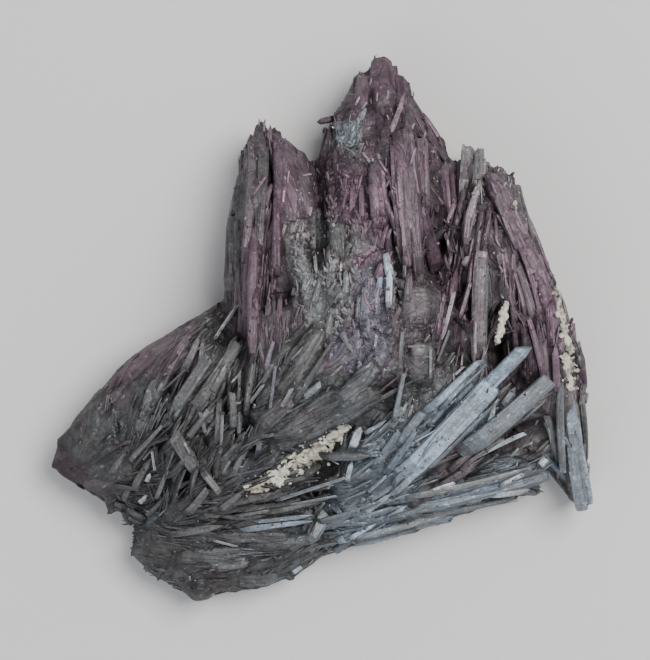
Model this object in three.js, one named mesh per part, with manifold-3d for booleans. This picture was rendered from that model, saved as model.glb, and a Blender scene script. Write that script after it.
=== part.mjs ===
// Stibnite crystal spray: one grown mass of grey metallic blades lying on its
// broken flat back, with a few pale crusts of a second mineral on it.
// Millimetres. +X is the specimen's right, +Y runs up to the three peaks, +Z
// is the crystal face that looks up at you. The broken back is the plane z = 0.

import * as THREE from 'three';
import { ConvexGeometry } from 'three/addons/geometries/ConvexGeometry.js';
import * as BufferGeometryUtils from 'three/addons/utils/BufferGeometryUtils.js';
import Module from 'manifold-3d';

// ---- driving sizes ----
const HALF_WIDTH = 33.95;        // left lobe tip to right leg, halved
const HALF_HEIGHT = 34.35;       // main peak tip to lower lobe tip, halved
const FOOT_DRAW = 0.9;           // the broken back, as a share of the rim's size
const RIM_SWAY = 1.2;            // how far the rim rises and falls round a lump
const END_SHARE = 1.4;           // length of a blade's end facet, in blade widths
const CRUST_STAND = 0.5;         // how far a crust stands proud of the mass
const CRUST_DEPTH = 1.3;         // how deep a crust is sunk in the mass
const GAP = 0.35;                // clearance round a crust, so no two pieces touch

const wasm = await Module();
wasm.setup();

// ---- small makers ----

// A convex chunk through hand-picked corners.
function chunk(corners) {
  return new ConvexGeometry(corners.map((c) => new THREE.Vector3(...c)));
}

// A chunk of the mass: rim corners round its widest line, crest corners on top.
// Its foot on the broken back is the rim drawn in toward the chunk's middle.
function lump(rimHeight, rim, crest) {
  const cx = rim.reduce((sum, p) => sum + p[0], 0) / rim.length;
  const cy = rim.reduce((sum, p) => sum + p[1], 0) / rim.length;
  const drawIn = ([x, y]) => [cx + (x - cx) * FOOT_DRAW, cy + (y - cy) * FOOT_DRAW, 0];
  const edge = rim.map(([x, y], i) => [x, y, rimHeight + RIM_SWAY * ((i * 2) % 5 - 2) * 0.5]);
  return chunk([...rim.map(drawIn), ...edge, ...crest]);
}

// Height of the highest lump over a spot, 0 where there is none.
function crestHeight(x, y) {
  const ray = new THREE.Ray(new THREE.Vector3(x, y, 100), new THREE.Vector3(0, 0, -1));
  const corners = [new THREE.Vector3(), new THREE.Vector3(), new THREE.Vector3()];
  const hit = new THREE.Vector3();
  let height = 0;
  for (const geometry of lumps) {
    const pos = geometry.attributes.position;
    for (let i = 0; i < pos.count; i += 3) {
      corners.forEach((corner, k) => corner.fromBufferAttribute(pos, i + k));
      if (ray.intersectTriangle(...corners, false, hit)) height = Math.max(height, hit.z);
    }
  }
  return height;
}

// A blade: a flattened six-sided prism from root to tip, with a slanted end.
function blade(root, tip, width, thick, slant = 0.5) {
  const from = new THREE.Vector3(...root);
  const along = new THREE.Vector3(...tip).sub(from);
  const length = along.length();
  along.normalize();
  const side = new THREE.Vector3(-along.y, along.x, 0).normalize();
  const up = new THREE.Vector3().crossVectors(along, side);
  const end = Math.min(width * END_SHARE, length * 0.4);
  const ring = [[0.5, 0.05], [0.26, 0.5], [-0.22, 0.5], [-0.5, -0.05], [-0.26, -0.5], [0.22, -0.5]];
  const corners = [];
  for (const [reach, size, lean] of [[0, 0.8, 0], [length - end, 1, 0.5], [length, 0.42, 0.6]]) {
    for (const [s, u] of ring) {
      const back = Math.abs(slant) * 0.3 * lean * width - s * slant * lean * width;
      const corner = from.clone().addScaledVector(along, reach - back);
      corner.addScaledVector(side, s * width * size);
      corner.addScaledVector(up, u * thick * size);
      corners.push(corner.toArray());
    }
  }
  return chunk(corners);
}

// A blade laid on the mass: each end is x, y and its lift over the crest there.
function laid([x0, y0, lift0], [x1, y1, lift1], width, thick, slant) {
  const root = [x0, y0, crestHeight(x0, y0) + lift0];
  const tip = [x1, y1, crestHeight(x1, y1) + lift1];
  return blade(root, tip, width, thick, slant);
}

// ---- the mass ----

const leftPeak = lump(
  7,
  [[-7.3, 25.6], [-9.3, 23], [-10.2, 18.5], [-10.9, 11], [-11.8, 5], [-13, -3], [4, -3],
    [4, 12], [-0.3, 19.5], [-2, 22.2], [-4.4, 24.1]],
  [[-6.7, 24.6, 10.5], [-8.6, 18, 13], [-3.2, 19, 14], [-5.2, 12, 17], [-8, 3, 18.5], [-1, 3, 21]],
);
const mainPeak = lump(
  6.5,
  [[7.5, 33.9], [5.6, 32], [3.2, 29.8], [1.3, 26.2], [0.2, 22.6], [-3, 14], [-2, 0], [15, 0],
    [19, 12], [16.8, 20.6], [14.9, 25], [12.8, 27.1], [11.2, 29.2], [9.7, 32]],
  [[7.6, 31.6, 10.5], [4, 27, 12.5], [10.6, 26.5, 14.5], [3, 20, 16], [10, 20, 19], [14, 16, 17.5],
    [10.5, 8, 22.5], [2, 8, 20.5]],
);
const rightPeak = lump(
  5.5,
  [[19, 22.4], [18, 21.4], [15.6, 18.6], [12, 6], [14, -4], [27, -4], [28.7, 8], [26.4, 13.5],
    [24.5, 18], [23.4, 19.7], [20.8, 20.9]],
  [[19.2, 20.4, 11], [18.4, 15, 14.5], [22.6, 16.5, 14], [17.5, 6, 17.5], [22.5, 8, 19], [23, 0, 19.5]],
);
const rightRidge = lump(
  6,
  [[26.2, 13.5], [28.5, 8.4], [30.5, 3.4], [31.9, 0.2], [33, -4], [33.4, -8], [32.8, -12.8],
    [28, -17], [19, -9], [18, 3], [20.5, 12.5]],
  [[25.3, 11.5, 14.5], [27.8, 3, 17], [30.2, -5, 15.5], [30, -12, 12.5], [24.5, -5, 17]],
);
const rightLeg = lump(
  4.5,
  [[33.1, -11.5], [33.9, -17.5], [33.8, -21.2], [32.7, -22.3], [31.3, -21.4], [29.6, -18.8],
    [27.5, -14], [29, -9]],
  [[32.6, -20.6, 8], [31.6, -15, 11.5], [30, -11, 12.5]],
);
const lowerFan = lump(
  5,
  [[-3, -28.4], [0.8, -28.1], [4.2, -26.7], [9.4, -25.8], [13.4, -24.8], [18.6, -22.7],
    [23.5, -21.2], [27.6, -19.8], [29.6, -17], [30.5, -11], [26, -3], [14, 0], [-1, -8], [-8, -20]],
  [[26.5, -16.5, 9.5], [15, -20.5, 12], [3, -23.5, 13], [26, -8, 14.5], [14, -12, 19.5],
    [2, -16, 18.5], [17, -4, 19.5]],
);
const lowerLobe = lump(
  4,
  [[-23.6, -24.5], [-23.9, -28.2], [-21.8, -30.4], [-18.6, -31.8], [-17.3, -33.2],
    [-15.9, -34], [-12.6, -33.2], [-6.5, -32.4], [-2.2, -30.4], [1.4, -27.8], [5, -21], [0, -13],
    [-17, -13]],
  [[-21, -27.5, 8.5], [-15.5, -31, 8.5], [-6, -29.5, 10.5], [-1, -24, 14], [-12, -24, 13.5],
    [-18, -21, 14], [-6, -15, 18]],
);
const leftLobe = lump(
  6,
  [[-33.8, -16.9], [-33.1, -14.8], [-31, -11.3], [-27.3, -7.2], [-24.2, -3.6], [-21, -1.8],
    [-16.6, 0.7], [-12.6, 3.6], [-4, 2], [-4, -18], [-22, -24], [-26.2, -21.8], [-30, -19.6], [-33, -18]],
  [[-31.8, -16, 8], [-27.5, -11, 11.5], [-23, -6, 13.5], [-17, -2, 15.5], [-25.5, -17.5, 12],
    [-18, -14, 16.5], [-11, -5, 19], [-11, -15, 17.5]],
);
const centre = lump(
  5,
  [[-12, 3], [-14, -14], [-4, -25], [12, -22], [24, -12], [25, -2], [17, 9], [4, 12], [-6, 10]],
  [[-7, 1, 20.5], [2, 8, 22], [10, 6, 24], [10, -5, 24], [0, -5, 23], [-9, -9, 20.5],
    [-1, -14, 20], [18, 1, 20.5]],
);
const lumps = [
  leftPeak, mainPeak, rightPeak, rightRidge, rightLeg, lowerFan, lowerLobe, leftLobe, centre,
];

// Blades are x, y, lift at the root, x, y, lift at the tip, width, thickness.
const laidBlades = [
  // left peak: upright columns either side of a dark cleft
  [-8.2, 2, -0.4, -7.6, 18.5, 0.4, 2.4, 1.9],
  [-8.6, 12, 0, -7.5, 24.8, 0.9, 2.2, 2],
  [-9.9, 6, -0.6, -9.7, 19.6, 0.2, 1.9, 1.8],
  [-3.6, 9, -0.4, -4.4, 23, 0.5, 3, 2.2],
  [-1.6, 10, -0.6, -2, 20.6, 0.4, 2.6, 2],
  [-7.4, -1.5, 0, -7.4, 5, 0.9, 1.5, 1.4],
  [-5.4, 2, 0, -6.2, 10.5, 0.6, 1.4, 1.4],
  [-10.9, 4, -0.4, -10.8, 12.6, 0.4, 1.5, 1.4],
  // main peak: smooth columns fanning up to a blunt dark head
  [11.4, 6.6, 0.5, 9.9, 23.6, 1.2, 3, 2.6],
  [9.2, 12, 0, 7.6, 21.5, 0.9, 1.1, 1.4],
  [12.6, 9.5, -0.2, 11.6, 24.6, 1, 1.8, 1.8],
  [6.9, 12, -0.4, 7.2, 20.8, 0.6, 2.2, 1.8],
  [8.6, 20, 0.2, 7.7, 32.8, 0.9, 3.4, 2.6],
  [5.4, 20, -0.4, 5.6, 31.2, 0.4, 2.8, 2.2],
  [10.6, 20, 0, 10.2, 30.2, 0.6, 2.4, 2],
  [3.2, 17, -0.4, 2.5, 27.6, 0.4, 2.4, 2.2],
  [1.9, 12, -0.4, 1.4, 23.4, 0.4, 2.2, 1.8],
  [3.9, 21, 0, 0.2, 26, -2.2, 1.1, 1.2],
  [16.6, 19.6, -0.4, 11.9, 26.6, 0.2, 1.8, 1.8],
  [14.4, 12, -0.2, 13.4, 22.5, 0.6, 1.6, 1.6],
  // right peak: an arrow of two legs below the tip blades
  [20.2, 12, -0.2, 19.1, 22, 0.6, 2.4, 2],
  [17.6, 9.6, 0.2, 19.8, 19, 1, 1.6, 1.7],
  [24.8, 9.4, 0.2, 20.6, 18.6, 0.9, 1.7, 1.7],
  [23, 12, -0.2, 23.2, 19.2, 0.3, 1.9, 1.7],
  [25.4, 9.5, -0.4, 24.5, 16.6, 0.2, 1.5, 1.4],
  [20, -3.6, 0.4, 20, 9.6, 1.4, 1.9, 1.9],
  [15.2, 4, 0, 16.9, 15.8, 0.5, 1.2, 1.3],
  [22.5, 0, 0, 22.2, 8.5, 0.8, 1.3, 1.4],
  [17.1, 1.2, -0.2, 18.4, 6.6, 0.8, 0.9, 1.1],
  [15.1, -1, -0.2, 16.4, 5.2, 0.7, 0.9, 1.1],
  // right ridge and leg
  [29.4, -3, 0.2, 24.5, 10.6, 1.1, 1.7, 1.8],
  [30.8, -9.6, 0, 28.3, 2.2, 0.6, 1.8, 1.7],
  [30.9, -2, -0.4, 27.3, 9, 0.3, 1.4, 1.5],
  [32.2, -7, -0.3, 30.7, 1.8, 0.2, 1.4, 1.5],
  [26, -8.5, 0.1, 25, 1.6, 0.6, 1.5, 1.5],
  [30, -9.4, 0, 31.4, -20.8, 0.5, 1.5, 1.5],
  [31.8, -9, 0, 33, -21.4, 0.3, 1.6, 1.5],
  [28.7, -11.6, 0, 30, -18.8, 0.3, 1.5, 1.4],
  // lower right fan of long blades
  [10.2, -18.6, 0, 25.6, -2, 3.6, 2.6, 1.7],
  [12.6, -11, 0.4, 20.2, -3.2, 2.4, 1.4, 1.2],
  [14.6, -15.6, 0, 28.3, -7.2, 2.6, 2.1, 1.5],
  [18, -13.6, 0, 21.8, -8.9, 1.6, 1.1, 1],
  [13.6, -18.2, 0, 25.4, -12.7, 1.2, 1.4, 1.3],
  [8, -21.4, 0, 22.6, -15.4, 0.8, 2, 1.6],
  [12, -21.6, 0, 27.8, -16.8, 0.4, 2.1, 1.6],
  [16.4, -22.6, -0.3, 27.9, -20.2, 0, 1.2, 1.1],
  [3, -25.7, 0, 17.4, -22.4, 0.1, 1.8, 1.5],
  [-0.6, -26.4, -0.2, 11.2, -24.1, 0.2, 1.8, 1.6],
  [3.4, -22.4, 0, 13.6, -16, 0.6, 2.2, 1.8],
  [22.6, -17.4, -0.2, 28.9, -14.2, 0.4, 1.4, 1.2],
  // lower left lobe: flat-lying striated blades
  [-19, -23.8, 0, -1, -22.6, 0.7, 2, 1.7],
  [-22.9, -26, 0, -3.4, -24.9, 0.5, 2.2, 1.8],
  [-22.2, -28.4, 0, -2, -27.5, 0.3, 2.3, 1.9],
  [-19.6, -30.6, 0, -3.4, -30, 0.2, 2.2, 1.8],
  [-17.2, -32.6, 0, -5.6, -31.4, 0, 1.7, 1.5],
  [-8, -21.6, -0.2, 3.2, -18, 0.8, 1.6, 1.4],
  // middle left tangle
  [-18.6, -10, 0, -13, -3.9, 1, 1.7, 1.4],
  [-14, -8.8, 0, -10, -2, 1.1, 1.4, 1.3],
  [-12.9, -1, -0.2, -10.5, 3, 0.8, 1.1, 1.1],
  [-22, -10, 0, -16.5, -2.6, 0.4, 2, 1.5],
  [-12.2, -19.8, 0, -17.5, -12.6, 1.2, 1.6, 1.3],
  [-20.9, -21.6, 0, -18.2, -15.8, 0.8, 1.1, 1.1],
  [-24, -16.6, 0, -19.3, -11.7, 0.8, 1.2, 1.1],
  [-16.6, -20.6, 0, -10.4, -12.6, 0.6, 1.7, 1.4],
  [-9.8, -12, 0, -4.4, -5.4, 0.6, 1.8, 1.5],
  [-8, -9.5, 0, -0.4, 0.6, 0.8, 1.8, 1.5],
  // left lobe: rounded dark shoulder
  [-28.4, -9.6, -0.4, -20.8, -2.8, 0, 2.4, 1.8],
  [-32.6, -14.6, -0.4, -24.8, -7.8, 0, 2.6, 2],
  [-32.9, -16.8, -0.3, -24.4, -13.6, 0.2, 2.6, 2],
  [-29.6, -19, -0.3, -22.4, -16.8, 0.3, 2.2, 1.8],
  // centre: broken upright crystals over smooth striated faces
  [8.6, 1.6, 0.2, 8.2, 9.6, 1.6, 1.5, 1.4],
  [11.6, 0.2, 0, 12, 5.6, 1.2, 4, 2.4],
  [12.6, -7.2, 0, 12.2, -2, 1.1, 3.4, 2.2],
  [5.6, -0.8, 0, 5.8, 6.2, 0.9, 2.2, 1.8],
  [1, 4, 0, 2.2, 12.6, 0.8, 2.4, 1.8],
  [-1.6, 3, 0, -2.6, 11.2, 0.7, 2, 1.6],
  [-6, -14.4, -0.2, 4.2, -8, 0.5, 3, 1.7],
  [-1, -11.6, -0.2, 8.6, -4.4, 0.6, 2.6, 1.7],
  [8.9, -11, 0, 9.6, -6, 0.9, 1.5, 1.3],
  [4.2, -15.2, 0, 8.6, -9.8, 0.9, 1.4, 1.3],
  [0, -15.2, 0, 6.8, -14.9, 0.6, 1.3, 1.2],
  [-5.6, -7, 0, 0.2, 1, 0.5, 2.4, 1.7],
  [-2.6, -7.4, 0, 3.4, -1.4, 0.5, 2.2, 1.6],
  [-11.4, -15.6, 0, -3.4, -9.4, 0.5, 2.4, 1.7],
  [2.6, -8, 0, 6.8, -2.4, 0.6, 1.8, 1.5],
  [9.6, -14.8, 0, 13.8, -8.4, 0.6, 1.8, 1.5],
  [14.6, -3.4, 0, 15.2, 2.2, 0.6, 1.6, 1.4],
  [4.6, 9, 0, 4.4, 15.2, 0.6, 1.8, 1.6],
  [-14.6, -15.4, 0, -9, -8, 0.6, 1.8, 1.5],
  [-10.6, -22.8, 0, 0.2, -20.6, 0.6, 1.6, 1.4],
  [-20.4, -19.4, 0, -14.6, -12.4, 0.6, 1.6, 1.4],
  [-26, -19.4, 0, -20.6, -12, 0.4, 1.6, 1.4],
];

// Blades that stick out round the sides: root, tip, width, thickness.
const sideBlades = [
  [[-7, 14, 7], [-7.2, 26.4, 8], 2.2, 2],
  [[-5, 14, 6], [-5.6, 25.8, 6.5], 2, 2],
  [[-9.2, 12, 5], [-9.4, 22.6, 5.5], 2, 1.8],
  [[7.4, 20, 8], [7.5, HALF_HEIGHT - 0.2, 8], 2.8, 2.4],
  [[9.4, 20, 6], [9.3, 32.6, 6], 2.4, 2],
  [[4.8, 18, 6], [4.9, 31.8, 6.5], 2.6, 2.2],
  [[12, 16, 6], [12.6, 27.6, 6], 2.2, 1.8],
  [[14, 14, 6], [15.6, 24.4, 6], 2, 1.8],
  [[14, 12, 7], [17.4, 21.4, 7], 2, 1.8],
  [[-3, 10, 6], [-0.7, 21.6, 6], 2, 1.8],
  [[18, 12, 6], [19, 23.1, 7.5], 2.2, 2],
  [[21, 10, 6], [22.6, 20.6, 6.5], 2.2, 2],
  [[23, 8, 6], [24.2, 19.9, 7], 1.5, 1.4],
  [[27, 0, 7], [27.4, 11.6, 8], 2, 1.8],
  [[29, -8, 6], [31.4, 2.4, 7], 2.2, 2],
  [[30, -2, 5], [33.4, -9.6, 6], 2.4, 2],
  [[30.5, -10, 6], [HALF_WIDTH - 0.45, -20.9, 6.5], 2, 2],
  [[29.5, -12, 5], [32.7, -22.7, 6], 1.8, 1.8],
  [[27.5, -10, 6], [29.7, -19.3, 6.5], 1.6, 1.6],
  [[20, -16, 5], [28.2, -20.6, 6.5], 1.6, 1.6],
  [[12, -20, 5], [24.6, -21.4, 5], 2, 1.8],
  [[10, -18, 5], [19.4, -23.1, 5], 2, 1.8],
  [[4, -24, 5], [15.6, -24.1, 5.5], 2, 1.8],
  [[-4, -22, 5], [8.6, -26.2, 5], 2.2, 2],
  [[-6, -26, 5], [1.8, -28, 5.5], 2.2, 2],
  [[-8, -25, 5], [-1.8, -30.5, 4.5], 2, 1.8],
  [[-12, -24, 5], [-22.4, -30.4, 5], 2, 1.8],
  [[-10, -26, 5], [-3.2, -31.8, 5], 2.4, 2],
  [[-12, -26, 5], [-9.6, -33.1, 6], 2.6, 2],
  [[-14, -26, 5], [-16, 0.25 - HALF_HEIGHT, 5.5], 2.4, 2.2],
  [[-14, -24, 5], [-20.8, -31.4, 6], 2.4, 2],
  [[-14, -24, 5], [-24.1, -28.2, 6], 2.4, 2],
  [[-20, -18, 5], [-27, -23.2, 6], 1.8, 1.6],
  [[-20, -18, 5], [-24.3, -24.8, 5], 2, 1.8],
  [[-22, -14, 6], [-31, -19.2, 6], 2.6, 2.2],
  [[-22, -14, 6], [-HALF_WIDTH, -16.9, 6], 2.8, 2.6],
  [[-20, -8, 6], [-30.6, -10.9, 7], 2.6, 2.2],
  [[-16, -6, 6], [-25.7, -5.3, 7], 2.6, 2.2],
  [[-14, -4, 7], [-21.4, -1.6, 8], 2.4, 2],
  [[-12, -4, 7], [-16.6, 1.3, 8], 2.4, 2],
];

// ---- pale crusts: outline corners, laid on the mass ----
const crustOutlines = {
  pale_crust_vein: [[-9, -20], [-7.6, -20.1], [-1.2, -16.9], [1.6, -14.6], [3.6, -11.7],
    [1.8, -11.9], [-1.4, -13.9], [-5.2, -17.1]],
  pale_crust_edge_upper: [[28.8, 4.9], [28.1, 3.2], [29.9, 0.6], [31.2, 1.2], [30.6, 3.2]],
  pale_crust_edge_lower: [[30.2, -2.3], [30.3, -4.6], [31.6, -6.9], [32.5, -6.2], [31.9, -3.4]],
  pale_crystal: [[22.4, 3.3], [21.4, 0.8], [21.4, -1.5], [22.4, -1.6], [23.2, 1]],
};

// ---- joining and cutting ----

function toSolid(geometry) {
  const bare = geometry.clone();
  bare.deleteAttribute('normal');
  bare.deleteAttribute('uv');
  const merged = BufferGeometryUtils.mergeVertices(bare, 1e-4);
  const vertProperties = new Float32Array(merged.attributes.position.array);
  const triVerts = new Uint32Array(merged.index.array);
  return new wasm.Manifold(new wasm.Mesh({ numProp: 3, vertProperties, triVerts }));
}

function toGeometry(solid) {
  const mesh = solid.getMesh();
  const geometry = new THREE.BufferGeometry();
  geometry.setAttribute('position', new THREE.BufferAttribute(mesh.vertProperties, 3));
  geometry.setIndex(new THREE.BufferAttribute(mesh.triVerts, 1));
  geometry.computeVertexNormals();
  return geometry;
}

// A crust follows the surface under each corner of its outline. Its clearance
// reaches `grow` further out on every side.
function crust(outline, grow) {
  const corners = [];
  for (const [x, y] of outline) {
    const surface = crestHeight(x, y);
    for (const dx of [-grow, grow]) {
      for (const dy of [-grow, grow]) {
        corners.push([x + dx, y + dy, surface - CRUST_DEPTH - grow]);
        corners.push([x + dx, y + dy, surface + CRUST_STAND + grow]);
      }
    }
  }
  return toSolid(chunk(corners));
}

let mass = toSolid(lumps[0]);
for (const geometry of lumps.slice(1)) mass = mass.add(toSolid(geometry));
for (const [x0, y0, lift0, x1, y1, lift1, width, thick] of laidBlades) {
  mass = mass.add(toSolid(laid([x0, y0, lift0], [x1, y1, lift1], width, thick)));
}
for (const [root, tip, width, thick] of sideBlades) {
  mass = mass.add(toSolid(blade(root, tip, width, thick)));
}
for (const outline of Object.values(crustOutlines)) mass = mass.subtract(crust(outline, GAP));
const rock = new THREE.BoxGeometry(4 * HALF_WIDTH, 4 * HALF_HEIGHT, 20).translate(0, 0, -10);
mass = mass.subtract(toSolid(rock));

// ---- the specimen ----

const stibnite = new THREE.MeshStandardMaterial({ color: 0x6b6467, roughness: 0.45, metalness: 0.7 });
const paleMineral = new THREE.MeshStandardMaterial({ color: 0xa9a292, roughness: 0.85, metalness: 0 });

const specimen = new THREE.Group();
const massMesh = new THREE.Mesh(toGeometry(mass), stibnite);
massMesh.name = 'stibnite_mass';
specimen.add(massMesh);
for (const [name, outline] of Object.entries(crustOutlines)) {
  const mesh = new THREE.Mesh(toGeometry(crust(outline, 0)), paleMineral);
  mesh.name = name;
  specimen.add(mesh);
}

export default specimen;
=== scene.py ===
import bpy, bmesh, math, random
import numpy as np
from mathutils import Matrix, Vector, noise
from mathutils.bvhtree import BVHTree


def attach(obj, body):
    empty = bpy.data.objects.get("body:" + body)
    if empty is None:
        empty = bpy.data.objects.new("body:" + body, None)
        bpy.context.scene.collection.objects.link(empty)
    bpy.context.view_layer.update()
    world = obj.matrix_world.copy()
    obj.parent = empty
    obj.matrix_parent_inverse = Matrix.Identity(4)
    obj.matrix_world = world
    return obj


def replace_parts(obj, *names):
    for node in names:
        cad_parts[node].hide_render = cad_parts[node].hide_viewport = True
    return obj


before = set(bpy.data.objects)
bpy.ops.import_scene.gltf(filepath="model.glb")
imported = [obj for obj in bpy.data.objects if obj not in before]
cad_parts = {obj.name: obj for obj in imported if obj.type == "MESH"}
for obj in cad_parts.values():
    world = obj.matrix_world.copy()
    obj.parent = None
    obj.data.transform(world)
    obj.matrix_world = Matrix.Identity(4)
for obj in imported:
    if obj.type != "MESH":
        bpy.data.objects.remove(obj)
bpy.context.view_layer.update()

# ---- grown mass ----
# The body of the specimen: countless blades of stibnite grown into one solid
# lump. What shows of it between the crystals is striated along their growth.
mm = 0.001
VOXEL = 0.34 * mm
BROAD_COLUMN = (2.2, 13)  # width and length in mm of the columns the mass is made of
NARROW_COLUMN = (1.0, 7)
LUMP = 1.25  # size in mm of the rubble where nothing is columnar
COVERED = 0.3  # share of a spot that a fused blade must cover to give it its look

# Growth centres: x, y in mm, heading of the crystals in degrees, strength of
# the columns, hue (-0.5 lilac, 0 violet-brown, 0.5 grey, 1 blue-grey) and tone
GROWTH = [
    (-7, 22, 92, 1.0, 0.25, 0.45), (-4, 18, 84, 0.8, 0.1, 0.55), (-9, 8, 90, 1.0, 0.1, 0.45),
    (-6, 0, 88, 0.8, 0.2, 0.45), (8, 31, 95, 0.35, 0.05, 0.41), (4, 27.4, 85, 0.4, 0.0, 0.37),
    (3.4, 24.4, 70, 0.1, 0.78, 0.86), (6.6, 24.6, 80, 0.5, 0.05, 0.45), (0.8, 20.4, 84, 0.5, 0.08, 0.42),
    (6.6, 29.0, 92, 0.4, 0.02, 0.37), (10, 16, 96, 1.0, 0.05, 0.52), (3, 16, 84, 0.5, 0.05, 0.5),
    (13.5, 23, 128, 1.0, 0.0, 0.35), (14, 14, 104, 0.8, 0.0, 0.35), (19, 20, 92, 0.8, 0.4, 0.70),
    (17, 12, 74, 1.0, 0.25, 0.5), (23, 13, 116, 1.0, 0.2, 0.54), (20, 2, 90, 1.0, 0.28, 0.54),
    (16, 3, 77, 1.0, 0.1, 0.42), (27, 4, 110, 1.0, 0.05, 0.55), (30, -7, 100, 0.8, 0.4, 0.6),
    (32, -17, 104, 1.0, 0.8, 0.76), (25, -3, 100, 0.8, 0.1, 0.44), (18, -10, 46, 1.0, 0.95, 0.72),
    (24, -12, 34, 1.0, 0.3, 0.44), (16.5, -16.5, 36, 1.0, 0.2, 0.34), (10, -16, 50, 0.7, 0.9, 0.66),
    (22, -19, 16, 0.8, 0.8, 0.66), (6, -24, 30, 0.8, 0.9, 0.66), (14, -23, 16, 1.0, 0.85, 0.72),
    (-4, -27, 180, 0.8, 0.6, 0.33), (-14, -28, 178, 0.7, 0.5, 0.33), (-21, -26, 176, 0.4, 0.48, 0.34),
    (-6, -22, 14, 1.0, 0.5, 0.31), (-14, -23, 12, 0.8, 0.5, 0.31), (-2, -12, 37, 0.4, 0.6, 0.38),
    (-7, -15, 37, 0.6, 0.55, 0.4), (3, -8, 37, 0.4, 0.6, 0.4), (-3, -3, 52, 1.0, 0.5, 0.5),
    (2, 3, 80, 0.4, 0.55, 0.66), (0, 10, 80, 0.3, 0.52, 0.74), (11, 3, 80, 0.2, 0.34, 0.50),
    (12, -5, 88, 0.4, 0.45, 0.5), (5.9, 3.0, 82, 0.2, -0.55, 0.60), (4.7, -2.6, 60, 0.2, -0.5, 0.55),
    (-12, -4, 56, 1.0, 0.5, 0.46), (-16, -9, 54, 1.0, 0.5, 0.46), (-13, -15, 60, 0.9, 0.5, 0.38),
    (-19, -17, 58, 0.8, 0.5, 0.38), (-17, -21, 40, 0.6, 0.6, 0.38), (-24, -8, 50, 0.35, 0.45, 0.4),
    (-30, -14, 52, 0.2, 0.42, 0.33), (-27, -18, 30, 0.25, 0.42, 0.34), (-20, -3, 48, 0.4, 0.22, 0.47),
    (-32, -17, 40, 0.2, 0.05, 0.0), (-25, -5, 50, 0.3, 0.18, 0.46), (-26.8, -10.6, 60, 0.1, 0.55, 0.45),
]
# x, y, heading, half length, half width, depth in mm: hollows between sheaves
HOLLOWS = [
    (-6.1, 20, 91, 6, 0.5, 1.3), (-6.2, 9, 90, 4, 0.5, 1.2), (-5.0, 4.6, 80, 2.2, 1.4, 1.8),
    (13.6, 18, 60, 2.6, 1.6, 2.2), (14.4, 12, 90, 1.8, 0.9, 1.5), (8.3, 11, 100, 3.5, 0.6, 1.2),
    (17.6, 0, 90, 4.4, 1.1, 2.2), (21.6, -1, 92, 4.0, 0.6, 2.2), (17.9, 7, 70, 2.6, 0.6, 1.4),
    (26.4, 8, 115, 2.4, 0.4, 1.6), (24.2, -4.8, 110, 2.4, 1.6, 2.0), (26.2, -7, 50, 2.0, 1.0, 1.8),
    (25.4, -13.0, 20, 2.8, 1.4, 2.6), (19.6, -18.0, 28, 6.5, 0.5, 1.6), (14.6, -11.9, 42, 3.2, 0.5, 1.6),
    (22.2, -14.9, 25, 3.6, 0.8, 1.6), (29.6, -16.2, 100, 1.6, 0.7, 1.6), (8.6, -8.6, 85, 2.2, 0.8, 1.8),
    (-12, -8.6, 80, 2.6, 0.5, 1.5), (-8.6, -8, 82, 4.0, 0.5, 1.3), (-18.6, -7.4, 55, 3.2, 0.4, 1.3),
    (-20.2, -14.4, 58, 2.6, 0.5, 1.3), (-16.6, -17.8, 62, 2.8, 0.8, 1.5), (0.8, -17.2, 12, 3.0, 1.0, 2.0),
    (-10.5, -23.1, 14, 4.4, 0.4, 1.1), (-6, -21.8, 14, 5, 0.5, 1.2), (5.0, -10.6, 30, 3.0, 0.8, 1.4),
    (6.3, 29.2, 80, 0.6, 0.3, 0.7), (7.4, 26.0, 62, 1.4, 0.45, 0.9), (9.9, 25.6, 62, 1.8, 0.4, 0.9),
    (5.4, 31.0, 75, 1.0, 0.3, 0.5), (1.6, 7.0, 150, 1.0, 0.7, 1.0), (-14.6, -13.5, 120, 1.4, 0.5, 1.2),
    (9.2, 5.5, 92, 2.6, 0.4, 1.2), (-26.4, -9.4, 60, 1.4, 0.5, 0.6), (-25.2, -11.8, 80, 1.2, 0.5, 0.6),
    (-26.8, -13.2, 40, 1.0, 0.4, 0.5),
]
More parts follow.
